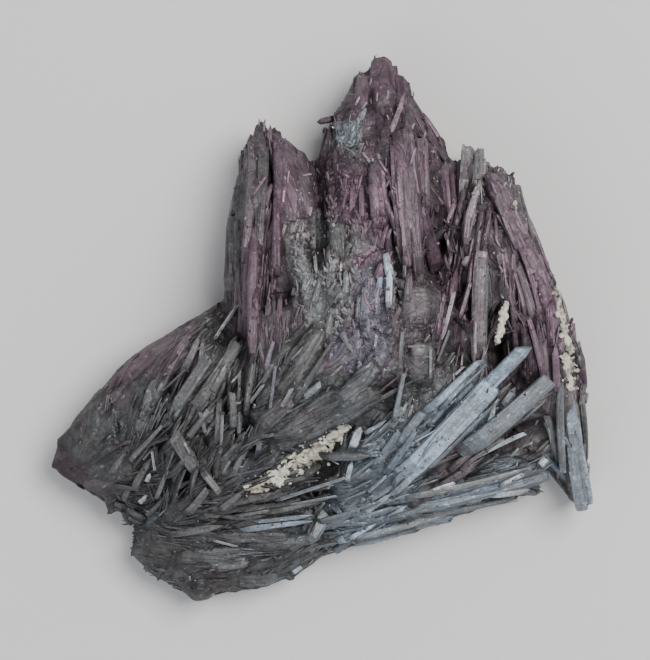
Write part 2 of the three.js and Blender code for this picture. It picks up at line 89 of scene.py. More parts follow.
# Broad blades fused into the mass: root x, y, tip x, y, width, height, tone, hue
FUSED = [
    (-8.3, 8, -7.5, 25.8, 2.6, 0.6, 0.42, 0.3), (-9.9, 11, -9.2, 22.8, 1.8, 0.4, 0.45, 0.45),
    (-4.9, 12, -5.4, 25.2, 1.8, 0.55, 0.49, 0.1), (-3.4, 12.5, -4.1, 24.4, 2.0, 0.5, 0.51, 0.1),
    (-1.9, 13, -2.4, 22.6, 2.0, 0.45, 0.5, 0.2), (-0.6, 13, -1.2, 21, 1.4, 0.3, 0.47, 0.15),
    (-8.4, -3, -8.2, 13, 2.3, 0.8, 0.47, 0.05), (-10.9, 4, -10.5, 14, 2.0, 0.3, 0.5, 0.4),
    (-5.4, 7, -5.4, 16, 1.2, 0.4, 0.48, 0.05), (8.0, 27.0, 7.7, 34.4, 3.4, 0.2, 0.40, 0.04),
    (5.0, 27.0, 5.9, 32.0, 1.6, 0.12, 0.37, 0.0), (10.6, 26.6, 9.4, 32.0, 1.5, 0.12, 0.39, 0.02),
    (3.4, 27.4, 4.0, 30.0, 1.6, 0.12, 0.39, 0.0), (7.3, 12, 7.0, 21, 2.3, 0.6, 0.56, 0.05),
    (11.4, 6.4, 10.0, 24.4, 3.0, 1.1, 0.46, 0.08), (12.6, 15, 12.2, 23, 1.7, 0.4, 0.5, 0.0),
    (14.9, 7, 12.3, 14.4, 1.7, 0.5, 0.5, 0.05), (16.2, 14.4, 15.9, 21.2, 1.9, 0.45, 0.56, 0.08),
    (13.9, 18.5, 14.6, 21.6, 1.6, 0.35, 0.52, 0.05), (18.6, 18.4, 19.1, 23.2, 2.4, 0.4, 0.68, 0.45),
    (26.4, 7.8, 20.9, 19.4, 2.6, 0.9, 0.58, 0.08), (23.9, 14, 22.3, 20.6, 1.7, 0.45, 0.5, 0.3),
    (25.4, 12, 24.2, 18, 1.5, 0.35, 0.46, 0.2), (28.9, -2.4, 28.2, 3.6, 1.9, 0.9, 0.52, 0.1),
    (28.5, 1.2, 26.4, 8.8, 1.9, 0.9, 0.52, 0.1), (26.9, 6.4, 24.8, 11.2, 1.6, 0.8, 0.58, 0.15),
    (-0.3, 7.5, -0.4, 15.2, 1.9, 0.7, 0.54, 0.5), (2.0, 8.4, 2.4, 13.0, 2.0, 0.4, 0.56, 0.5),
    (11.5, 0.4, 11.8, 5.4, 3.8, 0.5, 0.50, 0.34), (13.6, 0.6, 13.6, 5.2, 2.4, 0.4, 0.48, 0.38),
    (12.2, -6.8, 12.4, -1.5, 3.4, 0.7, 0.54, 0.5), (-4.8, -8.5, 0.3, 0.0, 2.2, 0.8, 0.57, 0.5),
    (-5.9, -14.7, 2.6, -7.5, 3.0, 0.4, 0.45, 0.55), (-3.4, -14.5, 5.7, -7.3, 2.8, 0.35, 0.47, 0.6),
    (-0.6, -13.7, 7.5, -7.5, 2.6, 0.3, 0.5, 0.6), (-7.5, -12.3, -1.6, -6.1, 2.3, 0.3, 0.46, 0.5),
    (1.8, -9.5, 6.7, -4.1, 2.5, 0.5, 0.52, 0.6), (-21.3, -10.4, -19.4, -6.0, 2.1, 0.5, 0.55, 0.5),
    (-22.7, -12.8, -20.3, -8.2, 1.5, 0.4, 0.5, 0.5), (-13.8, -29.8, -8.7, -28.7, 1.6, 0.2, 0.44, 0.5),
    (-10.6, -31.7, -5.2, -30.9, 1.9, 0.2, 0.46, 0.55), (-22.9, -24.4, -20.1, -22.0, 2.2, 0.3, 0.46, 0.9),
    (-17.8, -28.5, -9.6, -27.5, 1.9, 0.25, 0.42, 0.5), (-14.6, -25.8, -4.0, -25.4, 1.6, 0.4, 0.44, 0.5),
    (-9.4, -27.2, 0.4, -25.6, 1.6, 0.35, 0.46, 0.6), (9.4, -21.9, 28.4, -17.6, 2.9, 0.9, 0.56, 0.8),
    (-25.6, -6.6, -17.4, 0.4, 2.4, 0.12, 0.47, 0.2), (-22.0, -2.4, -15.4, 3.0, 1.6, 0.2, 0.45, 0.2),
]


def clamp(value, low=0.0, high=1.0):
    """A value held between two limits."""
    return max(low, min(high, value))


def turned(x, y, heading):
    """How far along, and how far across, a heading in radians a spot lies."""
    c, s = math.cos(heading), math.sin(heading)
    return x * c + y * s, y * c - x * s


def nearest_growth(x, y):
    """The three closest growth centres to a spot, each with its share of the say."""
    found = sorted(((x - g[0]) ** 2 + (y - g[1]) ** 2, i) for i, g in enumerate(GROWTH))[:3]
    shares = [1.0 / (d + 0.4) ** 3 for d, _ in found]
    total = sum(shares)
    return [(GROWTH[i], i, share / total) for (_, i), share in zip(found, shares)]


def growth_at(x, y):
    """Heading in radians, hue, tone and strength of the crystals over a spot."""
    c = s = hue = tone = firm = 0.0
    for (_, _, heading, strength, g_hue, g_tone), _, share in nearest_growth(x, y):
        c += math.cos(math.radians(heading)) * share
        s += math.sin(math.radians(heading)) * share
        hue += g_hue * share
        tone += g_tone * share
        firm += strength * share
    if hue < 0.25 and 1 < x < 10 and -8 < y < 8:
        hue = -0.5 if hue < -0.1 else 0.34  # the lilac patch ends sharply
    return math.atan2(s, c), hue, tone, firm


def hollow_at(x, y):
    """Depth in mm of the hollows at a spot."""
    deepest = 0.0
    for hx, hy, heading, half_long, half_wide, depth in HOLLOWS:
        along, across = turned(x - hx, y - hy, math.radians(heading))
        u, v = along / half_long, across / half_wide
        reach = u * u + v * v
        if reach < 6:
            deepest = max(deepest, depth * math.exp(-reach))
    return deepest


def fused_at(x, y):
    """The fused blade over a spot: height in mm, how much it covers, and its row."""
    best, cover, row = 0.0, 0.0, None
    for blade in FUSED:
        x0, y0, x1, y1, wide, high, _, _ = blade
        long = math.hypot(x1 - x0, y1 - y0)
        c, s = (x1 - x0) / long, (y1 - y0) / long
        u = ((x - x0) * c + (y - y0) * s) / long
        if not -0.05 < u < 1.02:
            continue
        taper = min(1.0, 0.45 + 3.0 * (1.02 - u), 0.5 + 3.0 * (u + 0.05))
        v = abs((y - y0) * c - (x - x0) * s) / (wide / 2 * taper)
        end = min(1.0, (1.02 - u) * long / 0.7, (u + 0.05) / 0.4)
        if v <= 1.0:
            facet = abs((v * 1.7 + x0) % 1.0 - 0.5)
            height = high * (1 - v ** 6) * (0.82 + 0.36 * facet) * end
            if height > best:
                best, cover, row = height, end * min(1.0, (1 - v) * 5), blade
        elif v <= 1.3 and best == 0.0:
            best = -0.2 * end  # a groove along its side
    return best, cover, row


def columns(around, x, y, z, wide, long):
    """Relief of packed columns at a spot in mm: their height and their tone; the
    tone differs at random by column and is darker in the grooves between columns, a painted shade.
    """
    height = tone = 0.0
    for (gx, gy, heading, strength, _, _), i, share in around:
        along, across = turned(x - gx, y - gy, math.radians(heading))
        distances, centres = noise.voronoi(Vector((across / wide, z / wide, along / long + i * 7.3)))
        cell = noise.cell_vector(centres[0] * 13.7)
        groove = min(1.0, (distances[1] - distances[0]) * 2.2)
        height += share * strength * (0.7 * (groove - 1.0) + 0.8 * (cell.x - 0.5))
        # grooves between columns darker: painted shade
        tone += share * strength * (0.5 * (cell.y - 0.5) + 0.45 * (groove - 0.8))
    return height, tone


def knit(shape, name, voxel):
    """Makes a piece of overlapping closed forms, fused into one skin."""
    mesh = bpy.data.meshes.new(name)
    shape.to_mesh(mesh)
    shape.free()
    piece = bpy.data.objects.new(name, mesh)
    bpy.context.scene.collection.objects.link(piece)
    remesh = piece.modifiers.new("remesh", "REMESH")
    remesh.mode = "VOXEL"
    remesh.voxel_size = voxel
    bpy.context.view_layer.update()
    skin = bpy.data.meshes.new_from_object(piece.evaluated_get(bpy.context.evaluated_depsgraph_get()))
    piece.modifiers.clear()
    piece.data = skin
    skin.name = name
    return piece


mass_shape = bmesh.new()
mass_shape.from_mesh(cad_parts["stibnite_mass"].data)
bmesh.ops.remove_doubles(mass_shape, verts=mass_shape.verts, dist=0.002 * mm)
KNOBS = [  # centre and half size in mm
    ((7.7, 31.2, 6.5), (1.9, 3.1, 3.9)),  # rounded head of the main peak
    ((5.3, 29.6, 6.5), (1.8, 2.9, 3.6)), ((10.2, 29.2, 6.2), (1.5, 2.6, 3.4)),  # its shoulders
    ((-26.4, -21.3, 4.5), (0.8, 1.3, 3.0)), ((-24.2, -23.2, 4.5), (0.8, 1.2, 3.0)),  # nubs under the left lobe
    ((-15.0, -32.2, 4.6), (2.3, 2.0, 4.4)),  # foot of the lower lobe
]
for centre, reach in KNOBS:
    bmesh.ops.create_icosphere(mass_shape, subdivisions=3, radius=mm,
                               matrix=Matrix.Translation(Vector(centre) * mm) @ Matrix.Diagonal((*reach, 1)))
mass = knit(mass_shape, "grown_mass", VOXEL)

relief = bmesh.new()
relief.from_mesh(mass.data)
for _ in range(4):
    bmesh.ops.smooth_vert(relief, verts=relief.verts, factor=0.5, use_axis_x=True, use_axis_y=True, use_axis_z=True)
relief.normal_update()
grain_layer = relief.verts.layers.float_vector.new("grain")
tone_layer = relief.verts.layers.float.new("tone")
hue_layer = relief.verts.layers.float.new("hue")
shifts = []
for v in relief.verts:
    x, y, z = v.co / mm
    around = nearest_growth(x, y)
    _, hue, tone, firm = growth_at(x, y)
    hollow = hollow_at(x, y)
    broad, broad_tone = columns(around, x, y, z, *BROAD_COLUMN)
    narrow, narrow_tone = columns(around, x, y, z + 40, *NARROW_COLUMN)
    swell = noise.noise(v.co / mm * 0.35)
    grit = noise.noise(v.co / mm * 1.7)
    rubble = max(0.0, 1 - firm * 1.4) if z > 1 and -8 < x < 16 and y > -10 else 0.0
    lump_far, lump_centre = noise.voronoi(v.co / mm / LUMP)
    lump = noise.cell_vector(lump_centre[0] * 9.1)
    lump_gap = min(1.0, (lump_far[1] - lump_far[0]) * 2.5)
    top = max(0.0, v.normal.z)
    fused, cover, blade = fused_at(x, y) if top > 0.15 else (0.0, 0.0, None)
    loose = 1 - 0.8 * cover
    off_back = clamp((z - 0.3) / 1.5)
    flow = math.radians(around[0][0][2])
    end_on = abs(v.normal.x * math.cos(flow) + v.normal.y * math.sin(flow))
    sideways = 0.45 + 0.55 * top - 0.3 * end_on * (1 - top)
    wall = clamp((0.5 - top) / 0.3)
    hue, tone = hue + (clamp(hue, 0.1, 0.5) - hue) * wall, tone + (min(tone, 0.44) - tone) * wall
    height = loose * sideways * (0.55 * broad + 0.25 * narrow) + 0.2 * swell + 0.03 * grit + fused * min(1.0, top * 2)
    height += rubble * loose * (0.7 * (lump.x - 0.5) + 0.35 * (lump_gap - 1)) - hollow * top * (1 - 0.6 * cover)
    shifts.append(v.normal * height * mm * off_back)
    (gx, gy, heading, _, _, _), i, _ = around[0]
    heading = math.radians(heading)
    smooth = not blade and rubble > 0.2
    if blade and cover > COVERED:
        gx, gy, tip_x, tip_y, wide, _, tone, hue = blade
        heading, i = math.atan2(tip_y - gy, tip_x - gx), FUSED.index(blade) + 50
        tone += 0.06
        smooth = wide > 3.3
    along, across = turned(x - gx, y - gy, heading)
    if smooth:
        v[grain_layer] = (across * 0.5, along * 4, z * 0.7)
    elif firm < 0.45 and x < -18:
        v[grain_layer] = (across * 0.5, along * 1.2, z * 0.4)
    else:
        v[grain_layer] = (across + z * 0.6, along, i * 3.1)
    # Painted shade: darker in the hollows, in the gaps between rubble lumps, in the grooves beside fused blades and,
    # through broad_tone and narrow_tone, in the column grooves; swells are a little paler.
    shade = loose * (0.6 * broad_tone + 0.4 * narrow_tone) + 0.12 * swell - 0.2 * hollow
    shade += rubble * loose * (0.07 + 0.3 * (lump.y - 0.5) + 0.2 * (lump_gap - 1)) + 0.5 * min(0.0, fused)
    v[tone_layer] = tone - 0.04 + shade
    v[hue_layer] = hue + 0.12 * noise.noise(v.co / mm * 0.22 + Vector((9, 4, 2)))
ground_spots = [(f.calc_center_median() / mm, f.normal.copy(), f.calc_area() / mm ** 2) for f in relief.faces]
for v, shift in zip(relief.verts, shifts):
    v.co += shift
    v.co.z = max(v.co.z, 0.0)
broken_back = [f for f in relief.faces if f.normal.z < -0.98 and f.calc_center_median().z < 0.06 * mm]
bmesh.ops.dissolve_limit(relief, angle_limit=math.radians(4),
                         verts=list(dict.fromkeys(v for f in broken_back for v in f.verts)),
                         edges=list(dict.fromkeys(e for f in broken_back for e in f.edges)))
bmesh.ops.triangulate(relief, faces=[f for f in relief.faces if len(f.verts) > 4])
relief.to_mesh(mass.data)
mass_tree = BVHTree.FromBMesh(relief)
relief.free()
mass.data.shade_smooth()


def feed(tree, node, inputs):
    """Gives a node's inputs, by name or number, their values or the outputs
    that drive them."""
    for name, source in inputs.items():
        if isinstance(source, bpy.types.NodeSocket):
            tree.links.new(source, node.inputs[name])
        else:
            node.inputs[name].default_value = source
    return node


def cloud(tree, place, scale, detail, rough=0.6):
    """Soft random patches."""
    return feed(tree, tree.nodes.new("ShaderNodeTexNoise"),
                {"Vector": place, "Scale": scale, "Detail": detail, "Roughness": rough})


def stretched(tree, place, by):
    """A place multiplied axis by axis."""
    node = tree.nodes.new("ShaderNodeVectorMath")
    node.operation = "MULTIPLY"
    return feed(tree, node, {0: place, 1: by}).outputs["Vector"]


def combine(tree, operation, first, second):
    """Two numbers made into one."""
    node = tree.nodes.new("ShaderNodeMath")
    node.operation = operation
    return feed(tree, node, {0: first, 1: second}).outputs["Value"]


def spread(tree, source, low, high, low_out, high_out):
    """A number moved from one range to another and held there."""
    return feed(tree, tree.nodes.new("ShaderNodeMapRange"), {
        "Value": source, "From Min": low, "From Max": high, "To Min": low_out, "To Max": high_out}).outputs["Result"]


def coloured(tree, source, stops):
    """Colours picked by a number: the stops' positions and colours."""
    node = feed(tree, tree.nodes.new("ShaderNodeValToRGB"), {"Fac": source})
    first, *between, last = stops
    for element, (position, colour) in zip(node.color_ramp.elements, (first, last)):
        element.position, element.color = position, (*colour, 1)
    for position, colour in between:
        node.color_ramp.elements.new(position).color = (*colour, 1)
    return node.outputs["Color"]


def blended(tree, blend, factor, first, second):
    """Two colours made into one."""
    node = tree.nodes.new("ShaderNodeMix")
    node.data_type, node.blend_type = "RGBA", blend
    return feed(tree, node, {"Factor": factor, 6: first, 7: second}).outputs[2]


def bumped(tree, strength, height):
    """Fine relief under the light only, from a height."""
    return feed(tree, tree.nodes.new("ShaderNodeBump"),
                {"Strength": strength, "Distance": 0.12 * mm, "Height": height}).outputs["Normal"]


def voronoi(tree, place, feature):
    """A pattern of cells one wide."""
    node = tree.nodes.new("ShaderNodeTexVoronoi")
    node.feature = feature
    return feed(tree, node, {"Vector": place, "Scale": 1.0})


def luck(tree, cells):
    """Each cell's own random numbers, as the channels of a colour."""
    return feed(tree, tree.nodes.new("ShaderNodeSeparateColor"), {"Color": cells.outputs["Color"]}).outputs


def stibnite(name, roughness, relief_strength, dust, painted_glint, splits):
    """Tarnished metallic crystal: fine lines along the blade, tone and hue of its
    own for each blade, soft patches of tarnish and a thin grey dust; faces
    broader than a blade are split into blades, darkened along the splits as
    painted shade, with tiny pale flecks as painted glints."""
    material = bpy.data.materials.new(name)
    material.use_nodes = True
    tree = material.node_tree
    place = tree.nodes.new("ShaderNodeTexCoord").outputs["Object"]
    own = {}
    for layer in ("grain", "tone", "hue"):
        own[layer] = tree.nodes.new("ShaderNodeAttribute")
        own[layer].attribute_name = layer
    grain = own["grain"].outputs["Vector"]
    wide_lines = cloud(tree, stretched(tree, grain, (2.6, 0.10, 1.0)), 1.0, 3.0).outputs["Fac"]
    fine_lines = cloud(tree, stretched(tree, grain, (8.0, 0.35, 1.0)), 1.0, 2.0).outputs["Fac"]
    tarnish = cloud(tree, place, 260.0, 4.0).outputs["Fac"]
    mottle = cloud(tree, place, 1000.0, 3.0).outputs["Fac"]
    grit = cloud(tree, place, 2600.0, 3.0).outputs["Fac"]
    blade_wise = stretched(tree, grain, (1.35, 0.17, 1.0))
    cell_luck = luck(tree, voronoi(tree, blade_wise, "F1"))
    # Darkening the edges of the blade cells is painted shade between blades.
    gap = spread(tree, voronoi(tree, blade_wise, "DISTANCE_TO_EDGE").outputs["Distance"], 0.0, 0.09, 1.0, 0.0)
    flake_luck = luck(tree, voronoi(tree, stretched(tree, grain, (6.0, 2.2, 1.0)), "F1"))

    light = own["tone"].outputs["Fac"]
    for operation, part in (
        ("ADD", spread(tree, wide_lines, 0.3, 0.7, -0.05, 0.05)),
        ("ADD", spread(tree, cell_luck["Red"], 0.0, 1.0, -splits, splits)),
        ("SUBTRACT", combine(tree, "MULTIPLY", gap, splits * 1.4)),
        ("ADD", spread(tree, fine_lines, 0.3, 0.7, -0.04, 0.04)),
        ("ADD", spread(tree, mottle, 0.35, 0.65, -0.05, 0.05)),
        ("ADD", spread(tree, tarnish, 0.3, 0.7, -0.10, 0.10)),
        ("ADD", spread(tree, grit, 0.35, 0.65, -0.08, 0.08)),
        # tiny pale flecks: painted glints
        ("ADD", spread(tree, flake_luck["Red"], 0.94, 1.0, 0.0, painted_glint)),
    ):
        light = combine(tree, operation, light, part)
    greys = ((0.05, 0.024), (0.3, 0.046), (0.5, 0.088), (0.75, 0.160), (0.92, 0.27), (1.0, 0.42))
    grey = coloured(tree, light, [(position, (depth, depth, depth)) for position, depth in greys])
    tint = combine(tree, "ADD", own["hue"].outputs["Fac"], spread(tree, tarnish, 0.3, 0.7, -0.12, 0.12))
    tint = combine(tree, "ADD", tint, spread(tree, cell_luck["Green"], 0.0, 1.0, -splits, splits))
    # The violet-brown is partly tarnish and partly a painted reddish reflection; the blue-grey is partly tarnish and
    # partly painted sheen.
    tint = coloured(tree, spread(tree, tint, -0.5, 1.0, 0.0, 1.0), [  # lilac, violet-brown, grey, blue-grey
        (0.0, (1.01, 0.95, 1.17)), (0.333, (1.33, 0.79, 1.08)), (0.667, (1.0, 1.0, 0.99)), (1.0, (0.81, 1.01, 1.22))])
    dust_cover = spread(tree, cloud(tree, place, 420.0, 5.0).outputs["Fac"], 0.52, 0.72, 0.0, dust)
    gloss = combine(tree, "ADD", spread(tree, fine_lines, 0.3, 0.7, roughness - 0.1, roughness + 0.1),
                    spread(tree, tarnish, 0.3, 0.7, -0.08, 0.1))
    height = combine(tree, "ADD", wide_lines, combine(tree, "MULTIPLY", fine_lines, 0.5))
    height = combine(tree, "SUBTRACT", height, combine(tree, "MULTIPLY", gap, splits * 5))
    height = combine(tree, "ADD", height, combine(tree, "MULTIPLY", grit, 0.45))
    feed(tree, tree.nodes["Principled BSDF"], {
        "Base Color": blended(tree, "MIX", dust_cover, blended(tree, "MULTIPLY", 1.0, grey, tint), (0.185, 0.18, 0.178, 1)),
        "Roughness": combine(tree, "ADD", gloss, dust_cover),
        "Metallic": 0.4,
        "Specular IOR Level": 0.5,
        "Normal": bumped(tree, relief_strength, height),
    })
    return material


def count_faces(piece):
    """Prints how many triangles a piece has."""
    print(piece.name, sum(len(p.vertices) - 2 for p in piece.data.polygons))


mass.data.materials.append(
    stibnite("striated_stibnite", roughness=0.55, relief_strength=0.9, dust=0.45, painted_glint=0.35, splits=0.09))
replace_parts(mass, "stibnite_mass")
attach(mass, "root")
count_faces(mass)

# ---- left peak ----
# Upright blades either side of a dark cleft, the right half broader and
# paler. Each blade is a flat ridged prism with a cut, pointed or broken end,
# its root sunk in the mass it grew with.
SPLINTER, SPEAR, COLUMN = 0.7, 1.3, 1.55  # widths in mm where one kind of blade gives way to the next
HEAD = 30  # y in mm above which the main peak's columns are blunt
STEEP = 0.35  # how level the ground is where its sides begin
END_ON = 0.35  # how squarely growth must meet the ground to show only its ends
END_DROP = 0.12  # how far an end may hang below its neighbour, for each mm of length
spot_places, spot_normals, spot_areas = (np.array([spot[i] for spot in ground_spots]) for i in range(3))


def blade_form(sides, rings, end, seed):
    """A blade one wide, one thick and one long, pulled out of a ridged ring."""
    rng = random.Random(seed)
    form = bmesh.new()
    bmesh.ops.create_circle(form, cap_ends=True, segments=sides, radius=0.5)
    corner = 3.2 if sides > 8 else 2.3
    for v in form.verts:
        angle = math.atan2(v.co.y, v.co.x) + rng.uniform(-0.12, 0.12)
        reach = 0.5 / (abs(math.cos(angle)) ** corner + abs(math.sin(angle)) ** corner) ** (1 / corner)
        reach *= rng.uniform(0.86, 1.0)
        v.co.x, v.co.y = math.cos(angle) * reach, math.sin(angle) * reach
    form.faces.ensure_lookup_table()
    cap = form.faces[0]
    shoulder, tip_wide, tip_thick = {
        "chisel": (0.86, 0.75, 0.14), "point": (0.78, 0.12, 0.2), "slant": (0.9, 0.75, 0.6),
        "broken": (0.93, 0.82, 0.7), "stepped": (0.9, 0.7, 0.4), "blunt": (0.95, 0.74, 0.5)}[end]
    stations = [(0.10, 0.92, 0.95)]  # how far along, how wide and how thick
    for i in range(1, rings - 1):
        stations.append((0.10 + (shoulder - 0.10) * i / (rings - 2), rng.uniform(0.93, 1.0), rng.uniform(0.94, 1.0)))
    if end == "blunt":
        stations.append(((shoulder + 1) / 2 + 0.01, (2 + tip_wide) / 3, (2 + tip_thick) / 3))
    stations.append((1.0, tip_wide, tip_thick))
    bmesh.ops.scale(form, vec=(0.5, 0.4, 1), verts=list(cap.verts))
    reached, last_wide, last_thick = 0.0, 0.5, 0.4
    for station, wide, thick in stations:
        pulled = bmesh.ops.extrude_face_region(form, geom=[cap])
        cap = next(g for g in pulled["geom"] if isinstance(g, bmesh.types.BMFace))
        edge = list(cap.verts)
        bmesh.ops.translate(form, vec=(0, 0, station - reached), verts=edge)
        bmesh.ops.scale(form, vec=(wide / last_wide, thick / last_thick, 1), verts=edge)
        reached, last_wide, last_thick = station, wide, thick
    for v in edge:
        if end == "slant":
            v.co.z -= 0.10 * (v.co.x + 0.5)
        elif end == "broken":
            v.co.z -= rng.uniform(0.0, 0.06)
        elif end == "stepped" and v.co.x > 0.05:
            v.co.z -= 0.08
    bmesh.ops.recalc_face_normals(form, faces=form.faces)
    form.verts.index_update()
    rings = []  # the faces again, in an order that is the same on every run
    for face in form.faces:
        ring = [v.index for v in face.verts]
        first = ring.index(min(ring))
        rings.append(ring[first:] + ring[:first])
    blade = bmesh.new()
    corners = [blade.verts.new(v.co) for v in form.verts]
    for ring in sorted(rings):
        blade.faces.new([corners[i] for i in ring])
    mesh = bpy.data.meshes.new("blade_form")
    blade.to_mesh(mesh)
    blade.free()
    form.free()
    mesh.attributes.new("grain", "FLOAT_VECTOR", "POINT")
    mesh.attributes.new("tone", "FLOAT", "POINT")
    mesh.attributes.new("hue", "FLOAT", "POINT")
    points = np.empty(len(mesh.vertices) * 3)
    mesh.vertices.foreach_get("co", points)
    points = points.reshape(-1, 3)
    around = np.mod(np.arctan2(points[:, 1], points[:, 0]) + math.pi / 2, 2 * math.pi) / (2 * math.pi)
    return mesh, points, around


def blade_forms(sides, rings, seed, *ends):
    """A few blades of one kind, each with its own end."""
    return [blade_form(sides, rings, end, seed + i) for i, end in enumerate(ends)]


column_forms = blade_forms(14, 8, 11, "blunt", "broken", "slant", "blunt")
spear_forms = blade_forms(12, 7, 21, "point", "chisel")
lath_forms = blade_forms(8, 4, 31, "chisel", "broken", "slant", "stepped", "point", "chisel", "broken")
splinter_forms = blade_forms(6, 3, 51, "chisel", "broken", "slant", "stepped", "point")
grain_forms = blade_forms(7, 3, 71, "broken", "slant", "blunt", "chisel")
crumb_forms = blade_forms(5, 2, 81, "broken", "slant", "chisel")


def new_shape():
    """An empty mesh that blades are added to."""
    shape = bmesh.new()
    shape.verts.layers.float_vector.new("grain")
    shape.verts.layers.float.new("tone")
    shape.verts.layers.float.new("hue")
    return shape


def set_blade(shape, form, root, tip, up, wide, thick, tone, hue, rng, bury=0.0, sink=0.0, bend=0.0):
    """Adds one blade from root to tip, in mm, its broad face turned to up and
    its root, and its tip if it is buried, bent down into the mass; sink takes
    the root deeper and bend bows the blade over its ground."""
    mesh, points, around = form
    along = tip - root
    length = along.length
    along.normalize()
    side = up.cross(along).normalized()
    face = along.cross(side)
    run = points[:, 2]
    local = points * (wide, thick, length)
    local[:, 0] *= 1 + rng.uniform(-0.35, 0.05) * run
    local[:, 0] += rng.uniform(-0.02, 0.02) * length * 4 * run * (1 - run)
    slant = min(1.0, 0.7 / wide)
    local[:, 2] += slant * (local[:, 0] * rng.uniform(-0.8, 0.8) + local[:, 1] * rng.uniform(-0.9, 0.5)) * (run > 0.7)
    root_end, tip_end = np.clip(1 - run / 0.3, 0, 1), np.clip(run / 0.25 - 3, 0, 1)
    local[:, 1] -= (thick * 0.9 + 0.35 + sink) * root_end ** 2 + bury * tip_end ** 2
    local[:, 1] -= bend * (2 * run - 1) ** 2
    placed = local @ np.array((side, face, along)) + np.array(root)
    placed[:, 2] = np.maximum(placed[:, 2], 0.03)
    mesh.vertices.foreach_set("co", (placed * mm).ravel())
    start = rng.uniform(0, 90)
    grain = np.stack((around * 2 * (wide + thick) + start, run * length + rng.uniform(0, 90), np.full(len(run), start)), axis=1)
    mesh.attributes["grain"].data.foreach_set("vector", grain.ravel())
    # Painted light: the blade's edges are a little paler, a painted highlight, and its root end darker, partly painted
    # shade where it meets the mass and partly dirt.
    shade = tone + 0.05 * (np.abs(points[:, 0]) * 2) ** 3 - 0.16 * np.maximum(0, 0.3 - run) / 0.3
    mesh.attributes["tone"].data.foreach_set("value", shade)
    mesh.attributes["hue"].data.foreach_set("value", np.full(len(run), hue))
    shape.from_mesh(mesh)


def seen_from_above(x, y, tree=mass_tree):
    """Where a ray straight down over a spot lands, and the face's normal."""
    return tree.ray_cast(Vector((x, y, 60)) * mm, Vector((0, 0, -1)))[:2]


def ground_height(x, y):
    """Height in mm of the grown mass over a spot."""
    hit = seen_from_above(x, y)[0] or mass_tree.find_nearest(Vector((x, y, 8)) * mm)[0]
    return hit.z / mm


def stands_off(spot):
    """How far in mm a spot is outside the grown mass."""
    near, outward, _, _ = mass_tree.find_nearest(spot * mm)
    return (spot * mm - near).dot(outward) / mm


def over_mass(spot):
    """Whether a spot is inside the specimen's outline, seen from above."""
    return seen_from_above(spot.x, spot.y)[0] is not None


def inside(patch, x, y):
    """Whether a spot, or each of an array of spots, is inside a patch."""
    within = False
    for (xa, ya), (xb, yb) in zip(patch, patch[1:] + patch[:1]):
        within ^= ((ya > y) != (yb > y)) & (x < (xb - xa) * (y - ya) / (yb - ya + 1e-9) + xa)
    return within


def place_blades(shape, blades, seed, bury=0.0):
    """Lays the blades that stand out: root x, y, tip x, y, width, how far the
    top stands over the mass, tone and, where it isn't the ground's, hue. A tone
    near 1 on a small blade paints a highlight or glint."""
    rng = random.Random(seed)
    for x0, y0, x1, y1, wide, stand, tone, *own_hue in blades:
        length = math.hypot(x1 - x0, y1 - y0)
        if wide < SPLINTER and length < 2.6:  # a small bright chip, a painted glint
            wide, stand, tone = wide * 0.75, stand * 0.5, min(tone, 0.86)
        heights = [ground_height(x0 + (x1 - x0) * s, y0 + (y1 - y0) * s) for s in (0.1, 0.35, 0.5, 0.65, 0.9)]
        heights[0] = max(heights[0], heights[1] - END_DROP * length)
        heights[4] = max(heights[4], heights[3] - END_DROP * length)
        thick = wide * (0.5 if wide > 1.2 else 0.65)
        middle = 0.5 * sorted(heights)[2] + 0.5 * max(heights[1:4]) + stand - 0.5 * thick
        rise = clamp((heights[4] + heights[3] - heights[0] - heights[1]) / (1.1 * length), -0.6, 0.6)
        bow = clamp(heights[2] - (heights[0] + heights[4]) / 2, 0.0, 0.08 * length) if wide < 1.6 else 0.0
        sink = max(0.0, stand - 0.5) * 0.9 if wide > SPLINTER else 0.0
        root = Vector((x0, y0, middle - rise * length / 2 - 0.1))
        tip = Vector((x1, y1, middle + rise * length / 2))
        hue = own_hue[0] if own_hue else growth_at((x0 + x1) / 2, (y0 + y1) / 2)[1]
        forms = column_forms if y1 <= HEAD else column_forms[:1]
        if wide < SPEAR:
            forms = splinter_forms if wide < SPLINTER else spear_forms
        lean = Vector((rng.uniform(-0.25, 0.25), rng.uniform(-0.25, 0.25), 1))
        set_blade(shape, rng.choice(forms), root, tip, lean, wide, thick, tone, hue, rng, bury, sink, bow)
        for shift in (-0.3, 0.0, 0.28) if wide > COLUMN and y1 < HEAD else ():  # laths that make up a column
            offset = lean.cross(tip - root).normalized() * wide * shift + Vector((0, 0, thick * rng.uniform(0.0, 0.12)))
            set_blade(shape, rng.choice(lath_forms), root.lerp(tip, rng.uniform(-0.12, 0.15)) + offset,
                      root.lerp(tip, rng.uniform(0.7, 1.0)) + offset, lean, wide * rng.uniform(0.28, 0.42), thick * 0.9,
                      tone + rng.gauss(0, 0.07), hue + rng.gauss(0, 0.08), rng, 0.0, sink)


